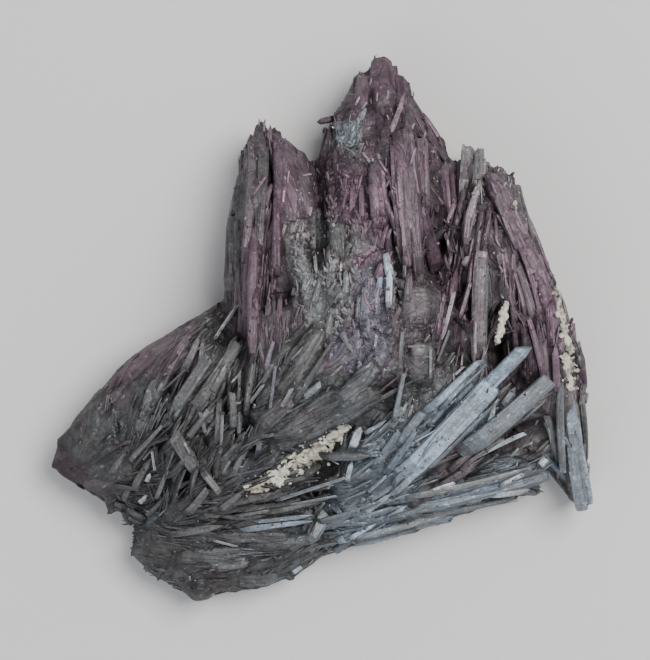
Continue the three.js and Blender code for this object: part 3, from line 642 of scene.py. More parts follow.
def scatter(shape, patch, count, seed, forms, length, wide, spread, sheaf, stand, tone_shift=0.0, level=2.0):
    """Grows sheaves of side-by-side blades over a patch of the mass, along its
    growth: the patch's outline, how many sheaves, the seed, the blades' forms,
    lengths and widths in mm, spread in degrees, how many to a sheaf, how far
    they stand out and how much paler they are; a low level keeps them to the
    patch's steep sides."""
    rng = random.Random(seed)
    usable = inside(patch, spot_places[:, 0], spot_places[:, 1]) & (spot_places[:, 2] > 0.9)
    usable &= (spot_normals[:, 2] > -0.5) & (spot_normals[:, 2] < level)
    found = np.nonzero(usable)[0]
    for pick in rng.choices(found.tolist(), weights=spot_areas[found].tolist(), k=count):
        place, normal = Vector(spot_places[pick]), Vector(spot_normals[pick])
        if hollow_at(place.x, place.y) > 0.7:
            continue
        heading, hue, tone, _ = growth_at(place.x, place.y)
        if normal.z < STEEP:
            hue, tone = clamp(hue, 0.1, 0.5), min(tone, 0.5)
        heading += math.radians(rng.gauss(0, spread))
        flow = Vector((math.cos(heading), math.sin(heading), 0))
        facing = flow.dot(normal)
        run = flow - normal * facing * (0.3 if facing > END_ON else 1.0)
        run = run.normalized() if run.length > 0.2 else flow.copy()
        run.z = clamp(run.z, -0.4, 0.45)
        run.normalize()
        up = (normal - run * normal.dot(run)).normalized()
        side = up.cross(run)
        sheaf_tone = tone + tone_shift + rng.gauss(0, 0.055)
        members = rng.randint(*sheaf)
        sheaf_wide, sheaf_long = rng.uniform(*wide), rng.uniform(*length)
        reach = 0.0
        for _ in range(members):
            blade_wide = sheaf_wide * rng.uniform(0.6, 1.3)
            thick = blade_wide * rng.uniform(0.45, 0.8)
            long = sheaf_long * rng.uniform(0.7, 1.2)
            tilt = math.radians(rng.uniform(0, 5))
            aim = (run + side * math.radians(rng.gauss(0, 3))).normalized()
            aim = (aim * math.cos(tilt) + up * math.sin(tilt)).normalized()
            seat = place + side * (reach - members * sheaf_wide * 0.4) + up * (rng.uniform(*stand) - thick * 0.5)
            reach += blade_wide * 0.85
            if facing > END_ON:  # only its tip comes out
                tip = seat + aim * rng.uniform(0.0, 0.3)
                root = tip - aim * long
            elif facing < -0.5:  # its root is at the surface
                root = seat - aim * rng.uniform(0.0, 0.4)
                tip = root + aim * long
            else:  # it lies along the surface
                root = seat - aim * long * rng.uniform(0.4, 0.6)
                tip = root + aim * long
            if root.z < 0.3 or tip.z < 0.3 or stands_off(root) > 0.35 or stands_off(tip) > stand[1] + 0.4:
                continue
            if not over_mass(root - up * 0.5) or not over_mass(tip - aim * 0.4 - up * 0.5):
                continue
            form = rng.choice(forms)
            own_tone = sheaf_tone + rng.gauss(0, 0.055)
            own_tone += 0.22 if rng.random() < 0.05 and blade_wide < 0.5 else 0.0  # a few are painted paler, as glints
            own_hue = hue + rng.gauss(0, 0.11 if forms is grain_forms else 0.06)
            set_blade(shape, form, root, tip, up, blade_wide, thick, own_tone, own_hue, rng)


def drop_crumbs_and_glints(shape, patch, count, seed, tones):
    """Drops dark crumbs and bright chips on whatever lies on top over a patch,
    the bright chips being painted glints: outline, tries, seed, and how much
    lighter or darker they are."""
    rng = random.Random(seed)
    laid = BVHTree.FromBMesh(shape)
    (left, right), (near, far) = ((min(p[i] for p in patch), max(p[i] for p in patch)) for i in (0, 1))
    for _ in range(count):
        x, y = rng.uniform(left, right), rng.uniform(near, far)
        hits = [hit for hit in (seen_from_above(x, y, laid), seen_from_above(x, y)) if hit[0] and hit[1].z > 0.25]
        if not inside(patch, x, y) or not hits:
            continue
        spot, normal = max(hits, key=lambda hit: hit[0].z)
        heading, hue, tone, _ = growth_at(x, y)
        heading += rng.gauss(0, 0.35)
        run = Vector((math.cos(heading), math.sin(heading), 0))
        run = (run - normal * run.dot(normal)).normalized()
        wide = rng.uniform(0.16, 0.4)
        seat = spot / mm + normal * wide * 0.15
        set_blade(shape, rng.choice(crumb_forms), seat, seat + run * wide * rng.uniform(0.9, 2.4), normal, wide, wide * 0.6,
                  tone + rng.choice(tones), hue + rng.gauss(0, 0.08), rng)


def clad(shape, rows, seed):
    """Covers broad fused blades with the narrow ones they are made of: root x,
    y, tip x, y, width, tone and hue."""
    rng = random.Random(seed)
    strips = []
    for x0, y0, x1, y1, wide, tone, hue in rows:
        long = math.hypot(x1 - x0, y1 - y0)
        c, s = (x1 - x0) / long, (y1 - y0) / long
        strip, v = wide / round(wide / 1.15), -wide / 2
        while v < wide / 2 - 0.1:
            own = strip * rng.uniform(0.8, 1.3)
            start, stop = rng.uniform(-0.02, 0.10) * long, rng.uniform(0.92, 1.08) * long
            mid = v + own / 2
            strips.append((x0 + c * start - s * mid, y0 + s * start + c * mid, x0 + c * stop - s * mid, y0 + s * stop + c * mid,
                           own * 1.2, rng.uniform(-0.2, -0.06), tone + rng.gauss(0, 0.04), hue + rng.gauss(0, 0.05)))
            v += own
    place_blades(shape, strips, seed + 1, bury=0.8)


def finish_piece(shape, name):
    """Makes the blades one piece of the specimen."""
    piece = bpy.data.objects.new(name, bpy.data.meshes.new(name))
    shape.to_mesh(piece.data)
    shape.free()
    bpy.context.scene.collection.objects.link(piece)
    piece.data.materials.append(blade_finish)
    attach(piece, "root")
    count_faces(piece)


blade_finish = stibnite("bladed_stibnite", roughness=0.46, relief_strength=0.6, dust=0.4, painted_glint=0.25, splits=0.05)
left_peak = new_shape()
place_blades(left_peak, [
    (-11.4, 12.3, -10.0, 19.4, 0.9, 0.3, 0.66, 0.6), (-8.4, 16.6, -6.5, 19.2, 0.6, 0.7, 0.56),
    (-7.6, 25.0, -7.6, 26.4, 0.4, 0.7, 1.0, 0.5), (-7.0, 23.8, -6.9, 26.2, 0.5, 0.7, 0.8, 0.4),
    (-6.4, 22, -6.2, 25.6, 0.8, 0.4, 0.6), (-4.6, 15.6, -4.4, 17.2, 0.5, 1.0, 0.95, 0.1),
    (-3.9, 18.0, -3.8, 19.6, 0.4, 1.0, 0.85, 0.1), (-2.4, 19.1, -1.0, 19.3, 0.35, 0.8, 0.85, 0.2),
    (-6.5, 10.9, -6.2, 12.3, 0.45, 1.2, 1.0, 0.3), (-5.4, 7, -5.4, 16.2, 1.2, 0.4, 0.48, 0.1),
    (-11.2, 5.0, -11.0, 8.8, 0.9, 0.3, 0.62, 0.6), (-11.3, 11.2, -11.1, 13.0, 0.4, 0.5, 0.95, 0.4),
    (-5.6, 1.0, -6.4, 3.3, 0.45, 1.1, 1.0, 0.5), (-5.0, 1.0, -4.8, 4.4, 0.8, 0.3, 0.55, 0.1),
    (-9.9, -1.8, -9.6, 4.6, 0.9, 0.6, 0.5, 0.1),
], 101)
LEFT_PEAK_GROUND = [(-14, 4), (-14, 30), (0, 30), (0.5, 17), (-3.4, 12), (-3.6, 3), (-5, -3), (-10.5, -3)]
scatter(left_peak, LEFT_PEAK_GROUND, 60, 1, lath_forms, (5, 11), (0.5, 1.2), 3, (2, 4), (-0.25, 0.1))
scatter(left_peak, LEFT_PEAK_GROUND, 150, 2, splinter_forms, (2, 6), (0.22, 0.5), 4, (2, 4), (-0.1, 0.25), 0.04)
clad(left_peak, [
    (-8.3, 8, -7.5, 25.0, 2.4, 0.42, 0.3), (-8.4, -3, -8.2, 13, 2.1, 0.46, 0.06),
    (-10.9, 4, -10.5, 14, 1.6, 0.5, 0.4),
], 131)
drop_crumbs_and_glints(left_peak, LEFT_PEAK_GROUND, 420, 141, (-0.2, -0.1, 0.15, 0.35))
finish_piece(left_peak, "left_peak_blades")

# ---- main peak ----
# The tallest bundle: smooth violet columns that fan up to a blunt dark head,
# with a patch of blue-grey grains and broken bits low on its left.
main_peak = new_shape()
place_blades(main_peak, [
    (8.3, 28.0, 8.4, 29.6, 0.5, 0.6, 0.75, 0.3), (9.2, 28.2, 9.0, 32.9, 1.5, -0.3, 0.40, 0.02),
    (6.2, 30.2, 6.4, 31.4, 0.45, 0.5, 0.7, 0.2), (4.2, 29.4, 4.5, 30.4, 0.45, 0.5, 0.66, 0.1),
    (4.8, 27.0, 5.3, 31.6, 1.7, -0.35, 0.35, 0.0), (10.3, 25.6, 9.9, 31.6, 1.5, -0.35, 0.38, 0.02),
    (3.0, 25.8, 3.3, 28.6, 1.4, -0.35, 0.34, 0.0), (4.3, 27.7, 4.9, 28.9, 0.45, 1.1, 1.0, 0.4),
    (5.1, 27.3, 5.8, 28.2, 0.4, 1.1, 0.95, 0.3), (7.0, 28.2, 7.1, 29.3, 0.4, 1.2, 1.0, 0.4),
    (8.6, 24.0, 10.4, 29.2, 0.8, 1.1, 0.78, 0.2), (1.9, 26.5, -0.4, 26.0, 0.9, 0.4, 0.35, 0.0),
    (2.2, 18.0, 2.0, 22.6, 1.1, 0.3, 0.38, 0.0), (0.5, 18.7, 2.0, 19.7, 0.35, 0.8, 0.8, 0.3),
    (0.5, 18.8, -0.5, 20.2, 0.35, 0.8, 0.7, 0.3), (5.0, 22.0, 6.1, 20.5, 0.5, 1.1, 0.95, 0.2),
    (7.2, 20.8, 8.1, 19.2, 0.5, 1.2, 1.0, 0.15), (9.7, 12.5, 8.2, 19.6, 0.7, 1.2, 0.78, 0.1),
    (10.0, 12.2, 9.2, 17.8, 0.45, 1.1, 0.7, 0.05), (10.3, 9.2, 9.4, 19.6, 0.6, 0.9, 0.70, 0.1),
    (10.7, 23.6, 11.6, 25.4, 0.5, 1.3, 1.0, 0.4), (12.4, 22.6, 13.1, 24.5, 0.5, 1.1, 1.0, 0.4),
    (11.1, 20.1, 11.6, 22.1, 0.45, 1.6, 1.0, 0.3), (16.8, 20.0, 12.4, 25.3, 0.9, 0.4, 0.2, 0.0),
    (15.4, 23.2, 12.8, 27.2, 0.8, 0.4, 0.5, 0.0), (13.0, 21.9, 14.2, 22.1, 0.6, 0.8, 0.85, 0.1),
    (14.8, 14.2, 12.8, 17.0, 0.6, 0.4, 0.36, 0.0), (15.3, 15.2, 13.2, 18.2, 0.6, 0.3, 0.3, 0.0),
    (15.0, 16.6, 13.6, 19.6, 0.6, 0.3, 0.34, 0.0), (13.5, 9.9, 14.6, 10.7, 0.5, 1.1, 0.95, 0.1),
    (17.5, 16.4, 17.6, 21.3, 1.0, 0.4, 0.5, 0.05), (8.6, 5.6, 8.2, 12.4, 1.1, 0.0, 0.3, 0.0),
    (5.2, 13.6, 5.1, 17.4, 0.9, 0.6, 0.7, 0.05), (4.0, 14.2, 4.0, 18.0, 0.9, 0.5, 0.6, 0.05),
], 102)
MAIN_PEAK_GROUND = [
    (-0.5, 17), (-1, 36), (14, 36), (18.4, 21), (16.6, 14), (14.6, 6.4), (9.6, 6.4), (8, 12.2), (2, 14),
]
BLUE_PATCH_GROUND = [(1.5, 23), (2.4, 26), (4.6, 25.6), (5.4, 22.8), (4, 21.2), (2.2, 21.6)]
VIOLET_RUBBLE_GROUND = [(-1, 12), (-1, 19), (2, 20), (5, 22), (8.6, 20), (8, 12.2), (2, 11)]
scatter(main_peak, MAIN_PEAK_GROUND, 45, 3, lath_forms, (4, 10), (0.5, 1.3), 4, (1, 4), (-0.3, 0.05), -0.02)
scatter(main_peak, MAIN_PEAK_GROUND, 110, 4, splinter_forms, (1, 5), (0.22, 0.5), 7, (1, 4), (-0.1, 0.25), 0.02)
scatter(main_peak, VIOLET_RUBBLE_GROUND, 170, 5, grain_forms, (0.6, 1.8), (0.4, 1.0), 35, (1, 1), (-0.1, 0.35), 0.04)
scatter(main_peak, BLUE_PATCH_GROUND, 130, 6, grain_forms, (0.3, 0.8), (0.3, 0.7), 70, (1, 1), (-0.25, 0.05), 0.0)
clad(main_peak, [
    (11.4, 6.4, 10.0, 24.4, 2.7, 0.40, 0.08), (7.3, 11, 7.0, 21, 2.0, 0.47, 0.06),
    (12.6, 14, 12.2, 23, 1.6, 0.46, 0.02), (14.9, 6, 12.3, 14.4, 1.6, 0.46, 0.06),
    (16.2, 13.4, 15.9, 21.2, 1.8, 0.5, 0.08),
], 132)
drop_crumbs_and_glints(main_peak, MAIN_PEAK_GROUND, 620, 142, (-0.2, -0.12, 0.15, 0.35))
finish_piece(main_peak, "main_peak_blades")

# ---- right peak ----
# A lower bundle: thin blades fork from its foot like a tall letter A, beside
# one straight column with a black crevice along it.
right_peak = new_shape()
place_blades(right_peak, [
    (18.0, 19.8, 18.4, 21.5, 0.5, 0.9, 0.95, 0.5), (17.9, 12.4, 19.8, 18.6, 1.2, 0.9, 0.76, 0.3),
    (16.6, 12.2, 18.0, 17.4, 0.9, 0.7, 0.62, 0.2), (15.6, 12.2, 16.9, 16.4, 0.8, 0.6, 0.6, 0.15),
    (24.4, 9.4, 21.6, 16.0, 0.7, 0.7, 0.62, 0.3), (22.7, 19.4, 23.3, 19.9, 0.5, 0.6, 0.8, 0.4),
    (24.0, 19.2, 24.3, 19.8, 0.5, 0.5, 0.8, 0.4), (22.6, 17.6, 23.0, 18.3, 0.5, 0.7, 0.85, 0.4),
    (23.4, 17.5, 23.7, 18.3, 0.5, 0.7, 0.8, 0.4), (17.8, 10.2, 18.3, 14.6, 0.9, 1.0, 0.76, 0.2),
    (18.7, 12.8, 19.1, 13.8, 0.5, 1.1, 0.9, 0.3), (20.4, 11.6, 20.9, 15.4, 0.8, 0.4, 0.5, 0.2),
    (21.6, 10.4, 21.5, 14.6, 0.7, 0.3, 0.45, 0.1), (15.4, 8.2, 15.8, 9.1, 0.5, 0.8, 0.8, 0.1),
    (17.4, 7.6, 18.2, 9.0, 0.9, 0.9, 0.95, 0.3), (18.4, 3.8, 18.8, 4.7, 0.6, 0.7, 0.9, 0.3),
    (19.0, -2.0, 19.2, -1.1, 0.5, 0.7, 0.9, 0.3), (19.5, -5.0, 19.7, 10.0, 2.2, 1.3, 0.66, 0.35),
    (18.7, -4.0, 18.9, 8.6, 0.6, 1.2, 0.74, 0.35), (22.9, 4.6, 21.6, 9.8, 0.6, 0.6, 0.6, 0.2),
    (23.2, 4.8, 22.5, 10.0, 0.6, 0.5, 0.56, 0.1), (26.5, 0.4, 24.2, 8.6, 1.5, 0.5, 0.54, 0.25),
    (25.4, 1.0, 23.3, 8.6, 0.7, 0.9, 0.62, 0.2), (14.9, -0.6, 16.4, 5.0, 0.55, 0.8, 0.95, 0.35),
    (16.4, 4.6, 17.0, 8.8, 0.6, 0.7, 0.62, 0.2), (15.6, 1.6, 17.2, 8.6, 1.1, 0.5, 0.52, 0.1),
    (17.2, 1.6, 18.4, 5.8, 0.6, 0.6, 0.7, 0.2), (14.6, 5.0, 15.2, 7.8, 0.5, 0.8, 0.75, 0.1),
    (15.6, 5.0, 14.6, 7.2, 0.4, 0.8, 0.75, 0.1), (17.2, -3.6, 17.6, 2.2, 0.9, 0.0, 0.3, 0.1),
    (16.0, -3.0, 16.8, 2.6, 0.9, 0.1, 0.36, 0.1), (18.4, -3.8, 18.6, 1.6, 0.6, 0.2, 0.42, 0.1),
    (14.2, -1.8, 14.9, 3.8, 0.8, 0.4, 0.5, 0.1), (21.9, 4.6, 22.3, 3.8, 0.4, 0.6, 0.8, 0.4),
], 103)
RIGHT_PEAK_GROUND = [
    (18.4, 21), (17.5, 25), (22, 25), (27, 16), (24.9, 10), (22.5, 3), (21.5, -6), (17, -6), (14, -2), (14.6, 6.4),
    (16.6, 14),
]
scatter(right_peak, RIGHT_PEAK_GROUND, 70, 7, lath_forms, (4, 9), (0.4, 1.0), 4, (2, 4), (-0.15, 0.2), 0.02)
scatter(right_peak, RIGHT_PEAK_GROUND, 160, 8, splinter_forms, (1.5, 5), (0.22, 0.5), 6, (1, 4), (0.0, 0.35), 0.1)
clad(right_peak, [
    (18.8, 16.4, 19.3, 22.8, 2.8, 0.68, 0.42), (26.4, 7.8, 21.0, 19.2, 2.4, 0.57, 0.06),
    (25.6, 11, 24.2, 18, 1.5, 0.47, 0.3),
], 133)
drop_crumbs_and_glints(right_peak, RIGHT_PEAK_GROUND, 380, 143, (-0.2, -0.1, 0.15, 0.35))
finish_piece(right_peak, "right_peak_blades")

# ---- right ridge and leg ----
# A long violet ridge down the right edge that ends in one bluish leg.
right_ridge = new_shape()
place_blades(right_ridge, [
    (28.6, 7.0, 26.0, 11.4, 0.9, 0.5, 0.6, 0.5), (28.9, 5.6, 27.3, 9.4, 1.0, 0.1, 0.42, 0.2),
    (28.8, -1.8, 29.2, 0.4, 0.4, 1.2, 0.95, 0.3), (33.2, -8.0, 32.6, -2.2, 1.2, 0.2, 0.38, 0.2),
    (27.8, -6.8, 25.7, 1.2, 0.9, 0.7, 0.52, 0.05), (24.2, -3.2, 23.4, 2.6, 0.8, 0.3, 0.48, 0.05),
    (28.0, -8.6, 27.4, -1.4, 1.2, 0.6, 0.56, 0.1), (29.3, -8.4, 28.8, -1.6, 1.0, 0.7, 0.6, 0.15),
    (30.5, -8.2, 33.7, -21.9, 2.2, 0.9, 0.94, 0.9), (31.2, -10, 32.6, -16.8, 0.6, 1.2, 0.95, 0.8),
    (29.4, -7.0, 30.3, -17.8, 1.1, 0.7, 0.66, 0.7), (31.2, -12.2, 32.9, -22.6, 1.9, 0.4, 0.78, 0.8),
    (32.6, -8.6, 33.6, -16.4, 1.0, 0.3, 0.6, 0.6), (27.6, -8.8, 29.6, -16.4, 1.1, 0.4, 0.52, 0.4),
    (28.2, -10.2, 28.8, -14.4, 0.5, 0.8, 0.75, 0.5), (30.1, -1.6, 31.0, -8.2, 0.5, 0.8, 0.85, 0.4),
], 104)
RIGHT_RIDGE_GROUND = [(27, 16), (36, 5), (36, -25), (30, -25), (29, -16), (27, -8), (22, -6), (22.5, 3), (24.9, 10)]
scatter(right_ridge, RIGHT_RIDGE_GROUND, 60, 9, lath_forms, (4, 9), (0.5, 1.1), 4, (1, 4), (-0.2, 0.12), 0.0)
scatter(right_ridge, RIGHT_RIDGE_GROUND, 130, 10, splinter_forms, (1, 4.5), (0.22, 0.5), 7, (1, 4), (0.0, 0.3), 0.05)
clad(right_ridge, [
    (28.9, -3.4, 28.2, 3.6, 1.8, 0.51, 0.12), (28.5, 0.2, 26.4, 8.8, 1.8, 0.50, 0.12),
    (26.9, 5.4, 24.8, 11.2, 1.5, 0.50, 0.18),
], 134)
EDGE_FLAKE_GROUND = [(28.4, 4.4), (31.4, 4.4), (33, -8.6), (29.4, -8.6)]
scatter(right_ridge, EDGE_FLAKE_GROUND, 150, 28, grain_forms, (0.4, 1.3), (0.3, 0.8), 30, (1, 1), (-0.05, 0.3), 0.22)
drop_crumbs_and_glints(right_ridge, RIGHT_RIDGE_GROUND, 380, 144, (-0.25, -0.1, 0.15, 0.3))
finish_piece(right_ridge, "right_ridge_blades")

# ---- lower fan ----
# The showpiece: long bluish blades that fan out to the right from the bottom
# of the specimen, two broad ones on top, with dark gaps under them.
# The pale blue-grey of these blades is partly tarnish and partly painted sheen.
lower_fan = new_shape()
place_blades(lower_fan, [
    (8.8, -19.3, 20.9, -6.5, 3.0, 1.5, 0.97, 0.95), (15.4, -11.6, 25.3, -1.6, 2.3, 1.8, 0.83, 1.0),
    (11.6, -16.2, 20.4, -6.6, 0.7, 2.1, 0.9, 0.9), (13.0, -17.6, 22.0, -8.6, 0.6, 2.1, 0.70, 0.9),
    (12.6, -10.2, 19.9, -3.3, 1.3, 1.5, 0.82, 0.95), (14.8, -9.4, 18.4, -5.6, 0.7, 1.3, 0.66, 0.9),
    (8.4, -19.3, 12.6, -15.2, 1.0, 1.2, 0.8, 0.95), (17.2, -15.4, 28.0, -6.0, 2.5, 1.7, 0.70, 0.75),
    (15.4, -17.6, 21.0, -12.9, 1.0, 2.1, 0.48, 0.25), (16.6, -16.2, 19.8, -12.6, 0.8, 2.2, 0.62, 0.6),
    (17.2, -17.0, 22.4, -13.4, 0.7, 2.0, 0.56, 0.5), (15.2, -11.2, 16.9, -9.6, 0.9, 2.0, 1.0, 0.42),
    (20.2, -13.0, 26.6, -7.2, 0.6, 2.1, 0.76, 0.75), (20.2, -13.0, 21.4, -9.0, 0.9, 1.3, 0.88, 0.8),
    (22.0, -9.9, 24.0, -7.0, 1.0, 1.2, 0.72, 0.7), (18.2, -16.2, 25.2, -12.7, 0.7, 1.4, 0.98, 0.7),
    (23.7, -15.9, 24.7, -14.6, 0.5, 0.9, 0.9, 0.6), (25.1, -14.6, 26.4, -14.0, 0.5, 0.9, 0.9, 0.6),
    (26.7, -12.0, 27.1, -11.0, 0.5, 0.9, 1.0, 0.6), (27.2, -17.2, 28.5, -16.0, 1.3, 1.0, 0.92, 0.6),
    (11.0, -20.6, 26.6, -16.9, 1.0, 1.3, 0.66, 0.6), (17.9, -21.8, 20.2, -21.0, 0.6, 1.2, 0.93, 0.7),
    (20.6, -20.5, 26.2, -19.9, 1.1, 1.3, 0.93, 0.7), (22.2, -19.3, 25.2, -17.8, 0.7, 1.4, 0.93, 0.7),
    (24.8, -20.1, 27.7, -20.5, 1.1, 0.3, 0.55, 0.6), (10.6, -22.2, 20.2, -15.8, 1.2, 0.9, 0.30, 0.3),
    (12.2, -21.4, 19.4, -16.9, 0.6, 1.1, 0.36, 0.3), (13.8, -19.8, 16.7, -18.8, 0.5, 1.5, 0.93, 0.8),
    (4.8, -22.9, 8.8, -20.1, 0.9, 1.2, 0.88, 0.95), (5.6, -20.0, 8.1, -17.9, 0.6, 1.2, 0.84, 0.95),
    (7.8, -23.6, 10.7, -21.7, 0.7, 1.1, 0.96, 0.9), (3.1, -26.3, 7.0, -24.1, 0.7, 0.9, 0.96, 0.9),
    (3.4, -26.0, 17.6, -22.4, 1.0, 0.8, 0.72, 0.7), (9.0, -24.6, 20.4, -21.9, 0.9, 0.7, 0.62, 0.6),
    (10.2, -23.6, 24.4, -21.0, 0.8, 0.9, 0.6, 0.6), (-1.8, -26.2, 0.9, -22.7, 2.2, 0.7, 0.72, 0.9),
    (0.8, -24.8, 3.6, -22.4, 1.4, 0.6, 0.7, 0.9), (-3.7, -30.7, -2.2, -29.7, 0.9, 0.9, 1.0, 0.8),
    (1.4, -28.2, 4.4, -25.6, 1.2, 0.5, 0.6, 0.8), (6.0, -17.6, 9.6, -12.4, 1.3, 0.9, 0.72, 0.9),
    (7.4, -18.2, 11.6, -12.2, 1.2, 0.9, 0.76, 0.95), (9.0, -14.6, 12.4, -10.0, 1.4, 0.9, 0.72, 0.9),
    (8.0, -12.6, 10.6, -8.8, 1.2, 0.7, 0.64, 0.85), (15.4, -7.6, 16.2, -6.4, 0.5, 2.0, 1.0, 0.5),
    (16.3, -6.7, 16.2, -5.2, 0.45, 2.0, 0.97, 0.45), (16.4, -5.4, 17.6, -4.4, 0.5, 2.0, 1.0, 0.5),
    (17.3, -4.6, 17.4, -2.9, 0.45, 1.8, 0.97, 0.45), (24.6, -11.4, 27.6, -8.6, 0.6, 1.6, 0.8, 0.7),
    (14.0, -15.4, 19.0, -11.0, 0.6, 1.2, 0.6, 0.9),
], 105)
LOWER_FAN_GROUND = [
    (4, -9), (9, -5), (14, -9), (20, -3), (22, -6), (27, -8), (29, -16), (30, -21), (27, -24), (10, -27), (4, -30),
    (-2, -28), (0, -21), (4, -16),
]
BLUE_GRAIN_GROUND = [(8, -17), (5.5, -15), (8, -12), (11, -8), (14, -9), (12, -13), (9, -18)]
WHITE_RUBBLE_GROUND = [(-2, -28), (-2, -22), (4, -21), (8, -22), (8, -26), (2, -29)]
scatter(lower_fan, LOWER_FAN_GROUND, 110, 11, lath_forms, (5, 12), (0.5, 1.4), 5, (1, 4), (-0.15, 0.3), 0.02)
scatter(lower_fan, LOWER_FAN_GROUND, 170, 12, splinter_forms, (1.5, 6), (0.22, 0.5), 7, (1, 4), (0.05, 0.45), 0.1)
scatter(lower_fan, BLUE_GRAIN_GROUND, 80, 13, grain_forms, (0.6, 2.2), (0.4, 1.1), 22, (1, 2), (0.0, 0.5), 0.1)
scatter(lower_fan, WHITE_RUBBLE_GROUND, 110, 14, grain_forms, (0.6, 2.0), (0.4, 1.1), 30, (1, 2), (-0.05, 0.4), 0.12)
clad(lower_fan, [(9.4, -21.9, 28.4, -17.6, 2.6, 0.66, 0.88), (8.4, -23.6, 24.0, -20.6, 1.6, 0.66, 0.92)], 135)
drop_crumbs_and_glints(lower_fan, LOWER_FAN_GROUND, 1000, 145, (-0.4, -0.25, 0.15, 0.3))
finish_piece(lower_fan, "lower_fan_blades")

# ---- centre ----
# Where the fans meet: grey rubble of broken crystals round a smooth lump and
# a block, with a few clean lilac prisms.
centre = new_shape()
place_blades(centre, [
    (13.4, -6.2, 13.3, -2.4, 0.4, 0.9, 0.8, 0.5), (10.3, -2.0, 12.6, -1.9, 0.4, 0.9, 0.8, 0.5),
    (8.7, -12.0, 10.0, -5.4, 0.8, 0.9, 0.8, 0.7), (8.2, 2.2, 8.4, 7.4, 0.9, 0.9, 1.0, 0.7),
    (8.4, 6.4, 7.9, 9.3, 1.2, 0.9, 1.02, 0.75), (7.1, 5.0, 7.5, 7.8, 0.8, 0.7, 0.9, 0.9),
    (5.3, 0.0, 5.5, 5.4, 1.4, 0.35, 0.66, -0.5), (6.7, 0.8, 6.8, 5.6, 1.2, 0.4, 0.70, -0.5),
    (4.3, -4.2, 4.6, 0.2, 1.5, 0.3, 0.58, -0.5), (4.6, 0.6, 4.7, 4.2, 0.9, 0.6, 0.68, 0.6),
    (2.3, 0.4, 3.9, -2.7, 0.9, 0.8, 0.72, 0.6), (6.7, -2.6, 6.8, -0.6, 0.6, 0.9, 0.9, 0.6),
    (-0.7, 9.4, -0.4, 6.7, 0.55, 1.0, 1.0, 0.5), (-4.6, 11.6, -4.2, 12.9, 0.6, 0.8, 0.85, 0.3),
    (-3.1, 8.4, -2.8, 9.5, 0.6, 0.9, 0.85, 0.15), (3.3, 8.5, 4.0, 9.3, 0.6, 0.9, 0.85, 0.5),
    (3.8, -14.9, 4.9, -11.7, 1.2, 1.0, 0.93, 0.7), (5.0, -12.8, 7.9, -11.0, 0.7, 1.0, 0.84, 0.8),
    (5.1, -14.1, 6.4, -13.8, 0.5, 0.9, 0.84, 0.7), (-0.4, -15.4, 6.2, -15.3, 1.1, 0.6, 0.46, 0.6),
    (3.2, -19.0, 3.9, -16.0, 0.8, 0.9, 0.93, 0.8), (1.0, -15.6, 2.3, -16.4, 0.4, 0.9, 0.9, 0.6),
    (-1.0, 2.6, 0.2, 6.2, 1.0, 0.5, 0.6, 0.5), (0.8, -1.4, 1.6, 2.6, 1.1, 0.5, 0.56, 0.5),
    (9.6, -4.6, 10.0, 0.2, 0.9, 0.5, 0.58, 0.6), (3.0, 3.6, 3.2, 7.4, 0.9, 0.5, 0.62, 0.6),
    (10.6, 3.4, 10.8, 6.6, 1.2, 0.7, 0.54, 0.3),
], 106)
CENTRE_GROUND = [(-3.6, 3), (-3.4, 12), (0.5, 17), (2, 14), (8, 12.2), (9.4, 6.4), (9, -0.5), (3, -4), (-1, -1)]
BLOCK_GROUND = [(9, -0.5), (9.4, 6.4), (14.6, 6.4), (14, -2), (17, -6), (20, -3), (14, -9), (9, -5)]
scatter(centre, CENTRE_GROUND, 50, 15, lath_forms, (1.5, 3.5), (0.6, 1.3), 18, (1, 2), (-0.25, 0.1), 0.0)
scatter(centre, CENTRE_GROUND, 420, 16, grain_forms, (0.5, 1.4), (0.45, 1.1), 70, (1, 1), (-0.15, 0.3), 0.04)
scatter(centre, CENTRE_GROUND, 90, 26, splinter_forms, (0.8, 2.4), (0.2, 0.45), 25, (1, 2), (0.0, 0.35), 0.12)
scatter(centre, BLOCK_GROUND, 110, 17, grain_forms, (0.6, 1.8), (0.4, 1.1), 45, (1, 1), (-0.15, 0.2), 0.03)
LILAC_GROUND = [(3.2, 5.5), (7.6, 5.5), (7.2, 0), (6.4, -5), (2.8, -5)]
scatter(centre, LILAC_GROUND, 90, 27, grain_forms, (0.5, 1.3), (0.4, 1.0), 60, (1, 1), (-0.15, 0.25), 0.08)
drop_crumbs_and_glints(centre, CENTRE_GROUND, 420, 146, (-0.2, -0.1, 0.15, 0.35))
drop_crumbs_and_glints(centre, BLOCK_GROUND, 260, 151, (-0.15, -0.08, 0.1, 0.3))
finish_piece(centre, "centre_rubble")

# ---- dark faces ----
# Broad dull cleavage faces across the middle, with few blades over them.
dark_faces = new_shape()
place_blades(dark_faces, [
    (-3.4, -9.0, 1.6, -1.4, 1.0, 0.5, 0.5, 0.5), (-2.4, -8.4, 0.1, -6.5, 1.0, 0.9, 0.7, 0.6),
    (1.2, -5.6, 2.7, -4.3, 0.6, 0.8, 1.0, 0.6), (-4.7, -9.6, -3.3, -6.9, 0.6, 0.9, 0.85, 0.6),
    (-4.1, -10.0, -3.6, -9.6, 0.5, 0.8, 0.9, 0.6), (-2.6, -12.7, -2.2, -12.1, 0.5, 0.6, 0.9, 0.6),
    (-8.2, -9.6, -7.8, -9.0, 0.5, 0.9, 0.9, 0.6), (-9.6, -13.6, -8.4, -11.5, 0.3, 0.8, 0.9, 0.6),
    (-7.5, -15.3, -7.2, -12.0, 0.7, 0.6, 0.72, -0.5), (-8.0, -16.6, -7.3, -12.3, 0.5, 0.6, 0.7, 0.6),
    (-6.2, -10.1, -5.4, -4.4, 0.5, 0.8, 0.72, -0.5), (-6.6, -5.4, -5.6, -1.4, 0.8, 0.5, 0.62, -0.4),
], 107)
DARK_GROUND = [(-6, -1.5), (-1, -1), (3, -4), (9, -5), (4, -9), (4, -16), (0, -21), (-7, -19.5), (-9, -13)]
